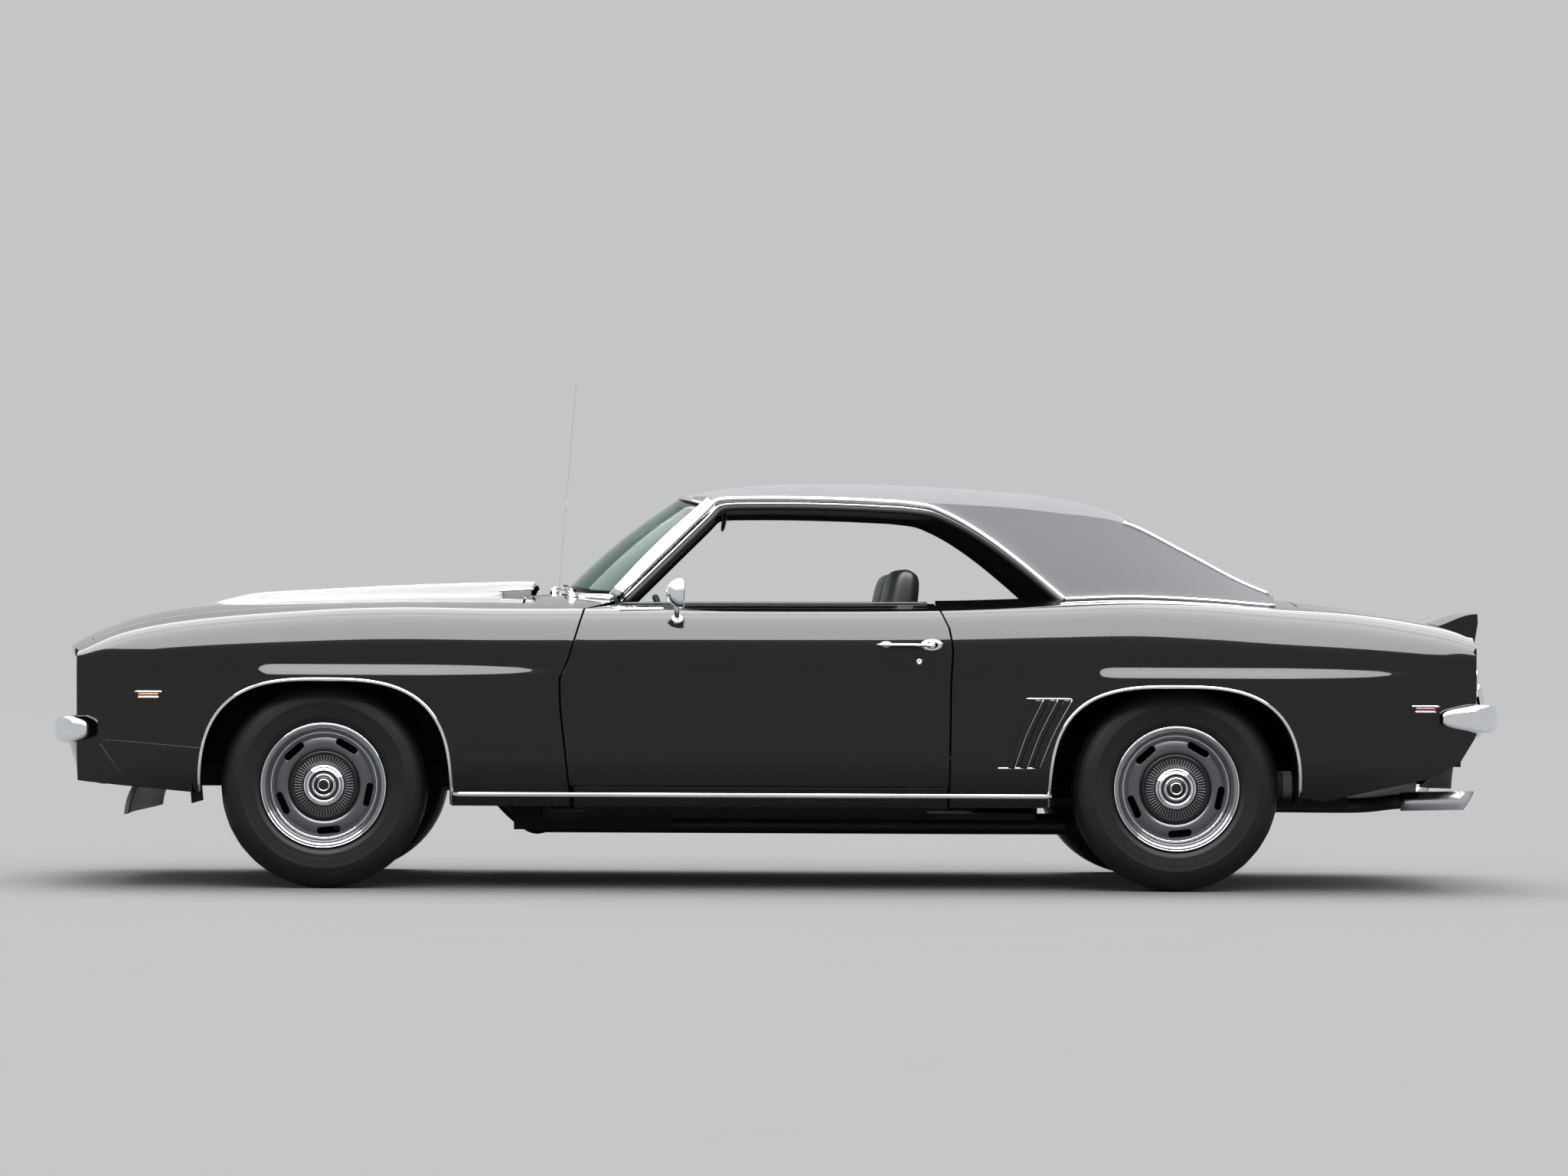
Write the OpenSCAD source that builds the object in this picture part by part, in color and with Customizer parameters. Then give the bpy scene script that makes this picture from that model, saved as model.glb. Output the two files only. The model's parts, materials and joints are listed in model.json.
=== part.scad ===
// Two-door hardtop coupe of the late 1960s, at full size in millimetres.
// The front of the car points to -X and its left side to -Y. The ground is at Z = 0.

/* [Overall] */
// Distance between the front and rear axles
wheelbase = 2743; // [2650:1:2850]
// From the front axle to the foremost point of the front bumper
front_overhang = 915; // [905:1:960]
// From the rear axle to the rearmost point of the rear bumper
rear_overhang = 1075; // [1065:1:1110]
// Width over the wheel-arch flares
body_width = 1880; // [1840:1:1920]
// Height of the window sills above the ground
belt_height = 930; // [920:1:950]
// Height of the roof above the window sills
roof_rise = 405; // [390:1:425]
// Height of the widest line of the body
waist_height = 735; // [730:1:745]
// Height of the sills' lower edge
sill_height = 268; // [255:1:280]

/* [Panels] */
// How far the wheel-arch flares stand out of the sides
flare_depth = 22; // [14:1:28]
// Wall thickness of the front fenders
fender_wall = 22; // [14:1:24]
// Wall thickness of the rear quarters
quarter_wall = 45; // [35:1:50]
// Depth of the doors from the flares' outer line to their inner faces
door_depth = 215; // [208:1:222]
// Half the distance between the doors' inner faces
door_inner = body_width / 2 - door_depth;
// Gap round the doors, the hood and the deck lid
panel_gap = 6; // [5.5:0.5:8]
// Thickness of the hood and the deck lid
lid_wall = 18; // [12:1:20]
// Half the width of the hood
hood_half = 636; // [620:1:645]
// Height of the raised middle of the hood
bulge_height = 46; // [30:1:55]
// Half the width of the deck lid
deck_half = 620; // [600:1:630]
// Height of the doors' lower edge above the sills' lower edge
door_foot = 67; // [60:1:75]
// Thickness of the roof with its headlining
roof_wall = 35; // [25:1:40]
// Half the width of the roof between the drip rails
roof_half = 612; // [595:1:625]
// Thickness of the windshield and the rear window
glass_wall = 6; // [5:0.5:8]
// Clearance between pieces that seat on each other
seat_gap = 0.3; // [0.2:0.1:0.6]

/* [Wheels] */
// Outer radius of the tyres, which is also the height of the hubs
tyre_radius = 332; // [326:1:335]
// Width of the tyres
tyre_width = 214; // [200:1:220]
// Radius of the rims' outer edge under the trim rings
rim_radius = 199; // [194:1:203]
// Distance between the middles of the front tyres
front_track = 1514; // [1504:1:1520]
// Distance between the middles of the rear tyres
rear_track = 1511; // [1501:1:1518]
// Number of slots in each rim
slot_count = 5; // [4:1:6]
// Radius of the spindles that the rims turn on
spindle_radius = 22; // [18:1:26]
// Radial clearance between a spindle and its rim
spindle_play = 0.05; // [0.02:0.01:0.1]

/* [Steering] */
// Distance from the middle of the car to the kingpins
kingpin_side = 690; // [680:1:695]
// How far the steering arms' eyes lie behind the kingpins
arm_back = 130; // [125:1:135]
// How far the steering arms' eyes lie inside the kingpins
arm_inside = 90; // [85:1:95]
// Radius of the steering wheel
wheel_radius = 190; // [180:1:200]
// Angle of the steering column above the horizontal
column_angle = 22; // [18:1:26]

/* [Cabin] */
// Distance from the middle of the car to the middle of each front seat
seat_side = 400; // [395:1:410]
// Width of each front seat
seat_width = 480; // [440:1:484]
// Height of the front seats' backs above the ground
seat_top = 1040; // [1000:1:1060]
// Half the width of the rear seat
rear_seat_half = 560; // [540:1:580]

/* [Engine and tail] */
// Length of the engine block
engine_length = 640; // [600:1:680]
// Radius of the exhaust pipes
pipe_radius = 28; // [24:1:32]
// Distance between the two holes of the number-plate bracket
plate_hole_spacing = 178; // [170:1:190]
// Radius of the number-plate bracket's holes
plate_hole_radius = 3.5; // [3:0.5:5]
// Length of the antenna's mast
mast_length = 790; // [600:1:800]

/* [Hidden] */
length = wheelbase + front_overhang + rear_overhang;
xf = -length / 2 + front_overhang;
xr = xf + wheelbase;
hub_z = tyre_radius;
side_base = body_width / 2 - flare_depth;
roof_height = belt_height + roof_rise;
cowl_half = side_base - 258;
cowl_wall = 14;
column_x = xf + 1130;
column_z = belt_height - 150;
tail_edge = belt_height - 135;
arch_power = 3;
front_arch = [xf + 6, 406, 668];
rear_arch = [xr - 7, 403, 655];
sail_tip_x = xr + 330;

// Stations of the body from nose to tail, with columns: place along the car, drop of
// the upper crease below the window sill, inset of the crease from the widest line,
// inset of the side at the waist, rise of the upper surface from crease to centre line
BODY = [
  [xf - 900, 218, 218, 158, 70],
  [xf - 800, 168, 183, 113, 72],
  [xf - 650, 107, 153, 62, 65],
  [xf - 410, 64, 133, 23, 60],
  [xf, 31, 122, 4, 46],
  [xf + 250, 23, 119, 1, 46],
  [xf + 540, 26, 118, 0, 55],
  [xf + 836, 25, 116, 0, 60],
  [xf + 1000, 24, 115, 0, 100],
  [xr - 760, 20, 112, 0, 105],
  [xr - 380, 8, 112, 0, 105],
  [xr - 140, 0, 114, 0, 105],
  [xr + 100, 5, 126, 2, 80],
  [xr + 280, 15, 142, 9, 55],
  [xr + 600, 34, 183, 36, 30],
  [xr + 870, 75, 213, 72, 20],
  [xr + 965, 102, 226, 92, 14]
];
DROP = 1;
CREASE_IN = 2;
SIDE_IN = 3;
RISE = 4;

// Stations of the roof, with columns: place along the car, drop of the centre line
// below the highest point, inset of the edge from the drip rails, drop of the edge
ROOF = [
  [xf + 1150, 51, 52, 85],
  [xf + 1231, 29, 27, 69],
  [xf + 1431, 5, 6, 63],
  [xf + 1688, 0, 0, 67],
  [xr - 801, 7, 7, 79],
  [xr - 545, 23, 22, 92],
  [xr - 358, 42, 40, 110],
  [xr - 153, 95, 58, 140],
  [xr + 50, 217, 32, 240],
  [xr + 217, 300, -10, 331],
  [xr + 330, 365, -40, 380]
];
ROOF_DROP = 1;
EDGE_IN = 2;
EDGE_DROP = 3;

// Lower edge of the front fender and of the rear quarter: place, height above the sill
FRONT_HEM = [[xf - 820, 77], [xf - 672, 62], [xf - 401, 38], [xf + 413, 0], [xf + 800, 0]];
REAR_HEM = [[xr - 735, 0], [xr - 411, 0], [xr + 397, 37], [xr + 475, 24], [xr + 835, 103],
            [xr + 916, 152], [xr + 965, 232]];
// Shut lines of the doors: height, distance behind the front axle or before the rear one
DOOR_FRONT = [[268, 796], [579, 762], [676, 757.5], [743, 787], [905, 836]];
DOOR_REAR = [[272, 731.4], [664, 729.4], [779, 723], [844, 734.4], [904, 762.2]];
// Angles of the rounded shoulder's rows and height of the flares' ledge
SHOULDER = [90, 62, 36, 15, 0];
ledge_middle = waist_height - 31;
ledge_foot = waist_height - 53;
// Where stations stand across a wheel arch, as shares of its half width
ARCH_STEPS = [1, 0.985, 0.93, 0.82, 0.65, 0.4, 0.13];

black = "#101012";
dark = "#2a2a2c";
steel = "#8c8f93";
chrome = "#d5d8dc";

function lerp(a, b, t) = a + (b - a) * t;
function clamp01(t) = min(1, max(0, t));
function smooth(t) = let (c = clamp01(t)) c * c * (3 - 2 * c);

// Smooth curve through one column of a table of stations
function slope(T, c, i) =
  let (a = max(0, i - 1), b = min(len(T) - 1, i + 1)) (T[b][c] - T[a][c]) / (T[b][0] - T[a][0]);
function at(T, c, x) =
  let (i = max([for (k = [0 : len(T) - 2]) x >= T[k][0] ? k : 0]),
       h = T[i + 1][0] - T[i][0],
       u = (x - T[i][0]) / h,
       t = clamp01(u),
       m0 = slope(T, c, i) * h,
       m1 = slope(T, c, i + 1) * h)
  T[i][c] * (2 * t * t * t - 3 * t * t + 1) + m0 * (t * t * t - 2 * t * t + t)
    + T[i + 1][c] * (3 * t * t - 2 * t * t * t) + m1 * (t * t * t - t * t)
    + (u - t) * (u < 0 ? m0 : m1);

// The body's surface: upper crease, side, flares and upper surface
function crease_z(x) = belt_height - at(BODY, DROP, x);
function crease_y(x) = side_base - at(BODY, CREASE_IN, x);
function side_y(x) = side_base - at(BODY, SIDE_IN, x);
function top_z(x, y) = crease_z(x) + at(BODY, RISE, x) * (1 - pow(y / crease_y(x), 2));
function flare(x) = flare_depth * max(
  smooth((x - (xf - 235)) / 70) * clamp01((xf + 935 - x) / 600),
  smooth((x - (xr - 285)) / 70) * clamp01((xr + 945 - x) / 620));
function tuck(z) = 12 * clamp01((ledge_foot - z) / 240)
  + 70 * pow(clamp01((sill_height + 162 - z) / 162), 1.5);
function low_y(x, z) = side_y(x) - tuck(z)
  + flare(x) * smooth((waist_height - 8 - z) / 45) * (1 - 0.7 * smooth((600 - z) / 300));
function hem(T, x) = sill_height + lookup(x, T);
function arch_z(arch, x) = let (t = abs(x - arch[0]) / arch[1])
  t >= 1 ? 0 : sill_height + (arch[2] - sill_height) * pow(1 - pow(t, arch_power), 1 / arch_power);
function door_front(z) = xf + lookup(z, DOOR_FRONT);
function door_rear(z) = xr - lookup(z, DOOR_REAR);
// Outermost point of the side at a place and height
function skin_y(x, z) = z < waist_height ? low_y(x, z)
  : crease_y(x) + (side_y(x) - crease_y(x))
    * sqrt(1 - pow((z - waist_height) / (crease_z(x) - waist_height), 2));
// Bar along the side between two points given by place and height
module side_bar(a, b, across, height, proud) {
  hull() for (p = [a, b]) {
    translate([p[0] - across / 2, skin_y(p[0], p[1]) - 6, p[1] - height / 2])
      cube([across, 6 + proud, height]);
  }
}
function arch_stations(arch) = concat(
  [for (t = ARCH_STEPS) arch[0] - t * arch[1]],
  [for (k = [len(ARCH_STEPS) - 1 : -1 : 0]) arch[0] + ARCH_STEPS[k] * arch[1]]);

// One point of a side panel: row 0 is its inner upper edge, row 1 the crease
function side_point(x, row, foot, warp, edge) =
  row == 0 ? let (w = warp(x, belt_height, 0)) [w, edge(w), top_z(w, edge(w))]
  : row <= 5 ? let (a = SHOULDER[row - 1],
        z = waist_height + (crease_z(x) - waist_height) * sin(a), w = warp(x, z, row))
      [w, crease_y(x) + (side_y(x) - crease_y(x)) * cos(a), z]
  : let (z = row == 6 ? ledge_middle : row == 7 ? ledge_foot
        : lerp(ledge_foot, foot(x), (row - 7) / 3), w = warp(x, z, row)) [w, low_y(w, z), z];
function side_grid(stations, foot, warp, edge) =
  [for (x = stations) [for (row = [0 : 10]) side_point(x, row, foot, warp, edge)]];
function inset_grid(grid, wall) = [for (line = grid) [for (row = [0 : len(line) - 1])
  line[row] - (row <= 1 ? [0, 0, wall] : row <= 5
    ? wall * [0, cos(SHOULDER[row - 1]), sin(SHOULDER[row - 1])] : [0, wall, 0])]];
// The inner grid's end beside a door, brought back to the shut line
function end_cut(grid, last, line_x) = [for (i = [0 : len(grid) - 1])
  i != last ? grid[i] : [for (row = [0 : len(grid[i]) - 1]) let (p = grid[i][row])
    row >= 1 && row <= 5 ? [line_x(p[2]), p[1], p[2]] : p]];

// Closed solid between an outer and an inner grid of points
module shell(outer, inner) {
  n = len(outer);
  m = len(outer[0]);
  k = n * m;
  points = [for (g = [outer, inner]) for (line = g) for (p = line) p];
  skins = [for (i = [0 : n - 2]) for (j = [0 : m - 2])
    let (a = i * m + j, b = a + m, c = b + 1, d = a + 1)
    each [[a, d, c], [a, c, b], [a + k, c + k, d + k], [a + k, b + k, c + k]]];
  rims = [for (i = [0 : n - 2]) let (a = i * m, b = a + m, d = a + m - 1, c = b + m - 1)
    each [[a, b, b + k], [a, b + k, a + k], [c, d, d + k], [c, d + k, c + k]]];
  ends = [for (j = [0 : m - 2]) let (a = j, d = j + 1, b = (n - 1) * m + j, c = b + 1)
    each [[d, a, a + k], [d, a + k, d + k], [b, c, c + k], [b, c + k, b + k]]];
  polyhedron(points, concat(skins, rims, ends), convexity = 10);
}
function shifted(grid, v) = [for (line = grid) [for (p = line) p + v]];
// Plan curves of the nose and of the two windows' lower edges
function lip_x(y) = xf - 800 - 85 * (1 - pow(y / 735, 2));
function shield_foot_x(y) = xf + 752 + 187 * pow(abs(y) / cowl_half, 2.3);
function back_foot_x(y) = xr + 292 - 57 * pow(abs(y) / 600, 2);
function hood_front(y) = lip_x(y) + 62;
function bulge_half(x) = lerp(205, 290, clamp01((x - xf + 475) / 1130));
function bulge(x, y) = bulge_height * (0.6 * smooth((x - xf + 490) / 260)
  + 0.4 * clamp01((x - xf + 300) / 920)) * smooth((bulge_half(x) + 45 - abs(y)) / 55);
function hood_rear(y) = xf + 632 + 32 * smooth((bulge_half(xf + 632) + 45 - abs(y)) / 55);
function hood_edge(x) = hood_half;

module both_sides() {
  children();
  mirror([0, 1, 0]) children();
}

// Fenders, doors and quarters
function fender_edge(x) = lerp(hood_edge(x) + panel_gap, cowl_half + seat_gap,
  clamp01((x - xf - 626) / 11));
function fender_warp(x, z, row) = x
  + (row == 0 ? (lip_x(hood_half + panel_gap) - xf + 800) : 0)
    * clamp01((xf - 640 - x) / 160)
  + ((row == 0 ? xf + 932 : door_front(z) - panel_gap / 2) - xf - 800)
    * clamp01((x - xf - 450) / 350);
module fender() {
  grid = side_grid(
    concat([xf - 800, xf - 700, xf - 600, xf - 500], arch_stations(front_arch),
      [xf + 500, xf + 578, xf + 586, xf + 680, xf + 800]),
    function (x) max(hem(FRONT_HEM, x), arch_z(front_arch, x)),
    function (x, z, row) fender_warp(x, z, row), function (x) fender_edge(x));
  shell(grid, end_cut(inset_grid(grid, fender_wall), len(grid) - 1,
    function (z) door_front(z) - panel_gap / 2));
  side_bar([xf - 604, 622], [xf - 520, 622], 4, marker_height, marker_proud);
}
marker_height = 28;
marker_proud = 5;
module fender_right() { color(black) fender(); }
module fender_left() { color(black) mirror([0, 1, 0]) fender(); }

function quarter_edge(x) = x < xr + 392
  ? lerp(lerp(side_base - 218, side_base - 246, clamp01((x - xr + 500) / 600)), deck_half + panel_gap,
      smooth((x - xr - 100) / 292))
  : deck_half + panel_gap;
function quarter_warp(x, z, row) = x
  + ((row == 0 ? xr - 772 : door_rear(z) + panel_gap / 2) - xr + 735)
    * clamp01((xr - 440 - x) / 295);
module quarter() {
  grid = side_grid(
    concat([xr - 735, xr - 640, xr - 540, xr - 450], arch_stations(rear_arch),
      [xr + 475, xr + 560, xr + 660, xr + 770, xr + 870, xr + 965]),
    function (x) max(hem(REAR_HEM, x), arch_z(rear_arch, x)),
    function (x, z, row) quarter_warp(x, z, row), function (x) quarter_edge(x));
  shell(grid, end_cut(inset_grid(grid, quarter_wall), 0,
    function (z) door_rear(z) + panel_gap / 2));
  side_bar([xr + 755, 592], [xr + 841, 592], 4, marker_height, marker_proud);
  // Three slanted louvres between two short bars
  for (k = [0 : 2]) {
    side_bar([xr - 449 + k * 46, louvre_top], [xr - 539 + k * 40, louvre_foot], 10, 10, 5);
  }
  side_bar([xr - 488, louvre_top], [xr - 343, louvre_top], 6, 8, 6);
  side_bar([xr - 578, louvre_foot], [xr - 450, louvre_foot], 6, 8, 6);
}
louvre_top = 617;
louvre_foot = 399;
module quarter_right() { color(black) quarter(); }
module quarter_left() { color(black) mirror([0, 1, 0]) quarter(); }

door_start = xf + 800;
door_end = xr - 735;
function door_warp(x, z, row) = let (s = (x - door_start) / (door_end - door_start))
  lerp(row == 0 ? xf + 938 : door_front(z) + panel_gap / 2,
       row == 0 ? xr - 778 : door_rear(z) - panel_gap / 2, s);
module door() {
  stations = [for (s = [0 : 8]) lerp(door_start, door_end, s / 8)];
  grid = side_grid(stations, function (x) sill_height + door_foot,
    function (x, z, row) door_warp(x, z, row), function (x) door_inner + 20);
  inner = [for (i = [0 : 8]) [for (row = [0 : 10]) let (p = grid[i][row])
    [p[0] + lerp(row == 1 || row == 2 ? 62 : 8, -26, i / 8), door_inner, p[2]]]];
  shell(grid, inner);
  door_handle();
}
// Pull handle on two posts, with its round push button at the rear end
module door_handle() {
  z = belt_height - 139;
  x = xr - 958;
  length = 197;
  y = skin_y(x + length / 2, z);
  translate([x, y + 14, z - 8]) cube([length, 10, 16]);
  translate([x, y - 5, z - 8]) cube([26, 22, 16]);
  translate([x + length - 34, y - 5, z]) rotate([-90, 0, 0]) cylinder(h = 31, r = 19);
}
module door_right() { color(black) door(); }
module door_left() { color(black) mirror([0, 1, 0]) door(); }
mirror_sink = 4.1;
module mirror_left() {
  foot_z = belt_height - 59.1;
  foot_y = skin_y(xf + 1136, foot_z) - mirror_sink;
  color(chrome) {
    translate([xf + 1112, -foot_y - 42.7, belt_height + 24]) rotate([0, 90, 0])
      cylinder(h = 48, r = 48);
    translate([xf + 1136, -foot_y, foot_z]) rotate([52.3, 0, 0]) cylinder(h = 60, r = 9);
  }
}

// Upper panels
function spread(n) = [for (j = [0 : n]) j / n];
module hood() {
  ys = [-1, -0.88, -0.72, -0.56, -0.5, -0.44, -0.38, -0.3, -0.12,
        0.12, 0.3, 0.38, 0.44, 0.5, 0.56, 0.72, 0.88, 1];
  outer = [for (s = spread(12)) [for (w = ys) let (y = w * hood_half,
    x = lerp(hood_front(y), hood_rear(y), s)) [x, y, top_z(x, y) + bulge(x, y)]]];
  color(black) shell(outer, shifted(outer, [0, 0, -lid_wall]));
}
module cowl() {
  outer = [for (s = spread(3)) [for (w = spread(12)) let (y = lerp(-cowl_half, cowl_half, w),
    x = lerp(hood_rear(y) + panel_gap, shield_foot_x(y) + 14, s)) [x, y, top_z(x, y)]]];
  color(black) shell(outer, shifted(outer, [0, 0, -cowl_wall]));
}
module nose_panel() {
  half = hood_half;
  outer = [for (row = [0 : 5]) [for (w = spread(12)) let (y = lerp(-half, half, w),
    back = hood_front(y) - panel_gap, lip = lip_x(y), x = lerp(back, lip, row / 3))
    row <= 3 ? [x, y, top_z(x, y)]
    : row == 4 ? [lip - 2, y, top_z(lip, y) - 16] : [lip + 2, y, waist_height + 7]]];
  inner = [for (row = [0 : 5]) [for (j = [0 : 12]) outer[row][j]
    + (row <= 2 ? [0, 0, -14] : row == 3 ? [8, 0, -14] : row == 4 ? [16, 0, -4] : [38, 0, 0])]];
  flip = [for (k = [5 : -1 : 0]) outer[k]];
  flip_inner = [for (k = [5 : -1 : 0]) inner[k]];
  color(black) shell(flip, flip_inner);
}
module rear_filler() {
  outer = [for (s = spread(4)) [for (w = spread(12))
    let (v = lerp(-1, 1, w), x = lerp(back_foot_x(v * 600) - 12, xr + 409, s),
      y = v * (quarter_edge(x) - 1.2)) [x, y, top_z(x, y)]]];
  color(black) shell(outer, shifted(outer, [0, 0, -cowl_wall]));
}
module deck_lid() {
  outer = [for (row = [0 : 8]) [for (w = spread(12))
    let (y = lerp(-deck_half, deck_half, w), x = lerp(xr + 415, xr + 945, row / 6))
    row <= 6 ? [x, y, top_z(x, y)]
    : row == 7 ? [xr + 961, y, top_z(xr + 945, y) - 14]
    : [xr + 968, y, tail_edge]]];
  inner = [for (row = [0 : 8]) [for (p = outer[row])
    p + (row <= 6 ? [row == 6 ? -8 : 0, 0, -lid_wall] : [-lid_wall, 0, row == 7 ? -6 : 0])]];
  color(black) shell(outer, inner);
}
module spoiler() {
  half = deck_half - 4;
  outer = [for (row = [0 : 5]) [for (w = spread(12)) let (y = lerp(-half, half, w),
    fall = 26 * pow(y / half, 2))
    row == 0 ? [xr + 878, y, top_z(xr + 878, y) + seat_gap + 3]
    : row == 1 ? [xr + 915, y, lerp(top_z(xr + 915, y), belt_height - 28 - fall, 0.45) + 6]
    : row == 2 ? [xr + 960, y, belt_height - 34 - fall]
    : row == 3 ? [xr + 1004, y, belt_height - 26 - fall]
    : row == 4 ? [xr + 1006, y, belt_height - 38 - fall] : [xr + 988, y, tail_edge]]];
  inner = [for (row = [0 : 5]) [for (j = [0 : 12]) let (y = outer[row][j][1],
    x = [878, 900, 925, 945, 962, 969][row])
    row <= 3 ? [xr + x, y, top_z(xr + x, y) + seat_gap]
    : row == 4 ? [xr + 962, y, top_z(xr + 945, y) - 13]
    : [xr + 968 + seat_gap, y, tail_edge]]];
  color(black) shell(outer, inner);
}

// Roof with its windshield pillars and rear sail panels
function roof_edge_y(x) = roof_half - at(ROOF, EDGE_IN, x);
function roof_edge_z(x) = roof_height - at(ROOF, EDGE_DROP, x);
function roof_z(x, y) = let (c = roof_height - at(ROOF, ROOF_DROP, x))
  c - (c - roof_edge_z(x)) * pow(abs(y) / roof_edge_y(x), 2.2);
function shield_top_x(y) = xf + 1140 + 100 * pow(abs(y) / 560, 2.3);
function sail_front(v) = v < 0.22 ? lerp(xf + 1875, xr - 644, v / 0.22)
  : lerp(xr - 644, xr - 354, (v - 0.22) / 0.78);
function sail_point(s, v) =
  let (x = lerp(sail_front(v), sail_tip_x, s), base = crease_y(x) - 65,
    bow = 14 * sin(180 * v) * (1 - s))
  [x, lerp(roof_edge_y(x), base, v) + bow,
    lerp(roof_edge_z(x), top_z(x, base) + seat_gap + 2.4, v)];
module sail() {
  vs = [0, 0.22, 0.5, 0.78, 1];
  outer = [for (s = spread(10)) [for (v = vs) sail_point(s, v)]];
  inner = [for (line = outer) [for (j = [0 : 4]) let (p = line[j], y = p[1] - 38)
    j < 4 ? [p[0], y, p[2] - 20 * (1 - vs[j])] : [p[0], y, top_z(p[0], y) + seat_gap + 2.4]]];
  shell(outer, inner);
}
module pillar() {
  foot = [xf + 930, 652, belt_height + 13.8];
  head = [xf + 1250, 576, roof_height - 84];
  for (k = [0 : 3]) {
    hull() {
      translate(lerp(foot, head, k / 4)) cube([34, 34, 12], center = true);
      translate(lerp(foot, head, (k + 1) / 4)) cube([34, 34, 12], center = true);
    }
  }
}
module roof() {
  outer = [for (s = spread(11)) [for (w = spread(12))
    let (v = lerp(-1, 1, w), x = lerp(shield_top_x(v * 587) + glass_wall * 0.7 + 0.8, xr - 140, s))
    [x, v * roof_edge_y(x), roof_z(x, v * roof_edge_y(x))]]];
  color("#77777a") union() {
    shell(outer, shifted(outer, [0, 0, -roof_wall]));
    both_sides() {
      sail();
      pillar();
    }
  }
}
module windshield() {
  drop = glass_wall * 0.7;
  outer = [for (s = spread(5)) [for (w = spread(12)) let (v = lerp(-1, 1, w),
    foot = shield_foot_x(v * cowl_half),
    low = [foot, v * (cowl_half - 28), top_z(foot, v * (cowl_half - 28)) + drop + seat_gap],
    high = [shield_top_x(v * 548), v * 548, roof_height - 51 - 38 * pow(abs(v), 2)],
    bow = 16 * sin(180 * s)) lerp(low, high, s) + [-bow * 0.8, 0, bow * 0.6]]];
  color("#6f8f86") shell(outer, shifted(outer, [drop, 0, -drop]));
}
module rear_window() {
  outer = [for (s = spread(5)) [for (w = spread(12)) let (v = lerp(-1, 1, w),
    high = [xr - 136, v * 490, roof_height - 100 - 42 * v * v],
    foot = back_foot_x(v * 600),
    low = [foot, v * 575, top_z(foot, v * 575) + glass_wall * 0.8 + seat_gap + 0.5],
    bow = 14 * sin(180 * s)) lerp(high, low, s) + [bow * 0.5, 0, bow * 0.8]]];
  color("#4c5a58") shell(outer, shifted(outer, [-glass_wall * 0.6, 0, -glass_wall * 0.8]));
}

// Nose and tail
module curved_band(inner_x, outer_x, half, z0, z1) {
  ys = [for (w = spread(16)) lerp(-half, half, w)];
  translate([0, 0, z0]) linear_extrude(z1 - z0)
    polygon(concat([for (y = ys) [outer_x(y), y]],
      [for (k = [16 : -1 : 0]) [inner_x(ys[k]), ys[k]]]));
}
lamp_side = 600;
lamp_z = 648;
module grille() {
  front = function (y) lip_x(y) + 25;
  back = function (y) lip_x(y) + 35;
  color(dark) {
    difference() {
      curved_band(back, front, 765, 556, waist_height + 7 - seat_gap);
      translate([xf - 950, -495, 572]) cube([200, 990, 150]);
      both_sides() translate([xf - 950, lamp_side, lamp_z]) rotate([0, 90, 0])
        cylinder(h = 250, r = 84);
    }
    for (k = [1 : 3]) {
      curved_band(function (y) lip_x(y) + 48, front, 497, 569 + 39 * k, 575 + 39 * k);
    }
    for (k = [-5 : 5]) {
      translate([lip_x(k * 88) + 27, k * 88 - 3, 570]) cube([19, 6, 154]);
    }
  }
}
module headlamps() {
  color("#e8ecee") both_sides() translate([lip_x(lamp_side) + 32, lamp_side, lamp_z])
    rotate([0, 90, 0]) rotate_extrude()
      polygon([[0, -10], [40, -7], [70, 2], [83.7, 12.5], [83.7, 52], [0, 52]]);
}
// Bar with a rounded front, swept along a curve in plan from the left to the right
BAR = [[0, -0.5], [0.62, -0.46], [0.94, -0.26], [1, 0], [0.94, 0.26], [0.62, 0.46], [0, 0.5]];
module bumper_bar(path, depth, height, side) {
  n = len(path);
  outer = [for (i = [0 : n - 1])
    let (a = path[max(0, i - 1)], b = path[min(n - 1, i + 1)], t = (b - a) / norm(b - a))
    [for (q = BAR) [path[i][0] - side * t[1] * depth * q[0],
      path[i][1] + side * t[0] * depth * q[0], path[i][2] + height * q[1]]]];
  inner = [for (i = [0 : n - 1]) [for (q = BAR) path[i] + [0, 0, height * q[1] * 0.9]]];
  inner_in = [for (i = [0 : n - 1]) let (a = path[max(0, i - 1)], b = path[min(n - 1, i + 1)],
    t = (b - a) / norm(b - a)) [for (p = inner[i]) p + side * [t[1], -t[0], 0] * bar_back]];
  order = side > 0 ? [n - 1 : -1 : 0] : [0 : n - 1];
  shell([for (i = order) outer[i]], [for (i = order) inner_in[i]]);
}
bar_depth = 30;
bar_back = 6;
front_bar_z = 509;
front_bar_height = 82;
function front_bar_x(y) = xf - front_overhang + bar_depth + 44 * pow(abs(y) / 780, 2.4);
module front_bumper() {
  z = front_bar_z;
  ys = [-770, -700, -560, -400, -200, 0, 200, 400, 560, 700, 770];
  path = concat([[xf - 690, -862, z], [xf - 760, -852, z], [xf - 812, -836, z],
    [xf - 836, -806, z]], [for (y = ys) [front_bar_x(y), y, z]],
    [[xf - 836, 806, z], [xf - 812, 836, z], [xf - 760, 852, z], [xf - 690, 862, z]]);
  color(chrome) bumper_bar(path, bar_depth, front_bar_height, 1);
}
function rear_bar_x(y) = xr + rear_overhang - bar_depth - 36 * pow(abs(y) / 790, 2.4);
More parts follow.
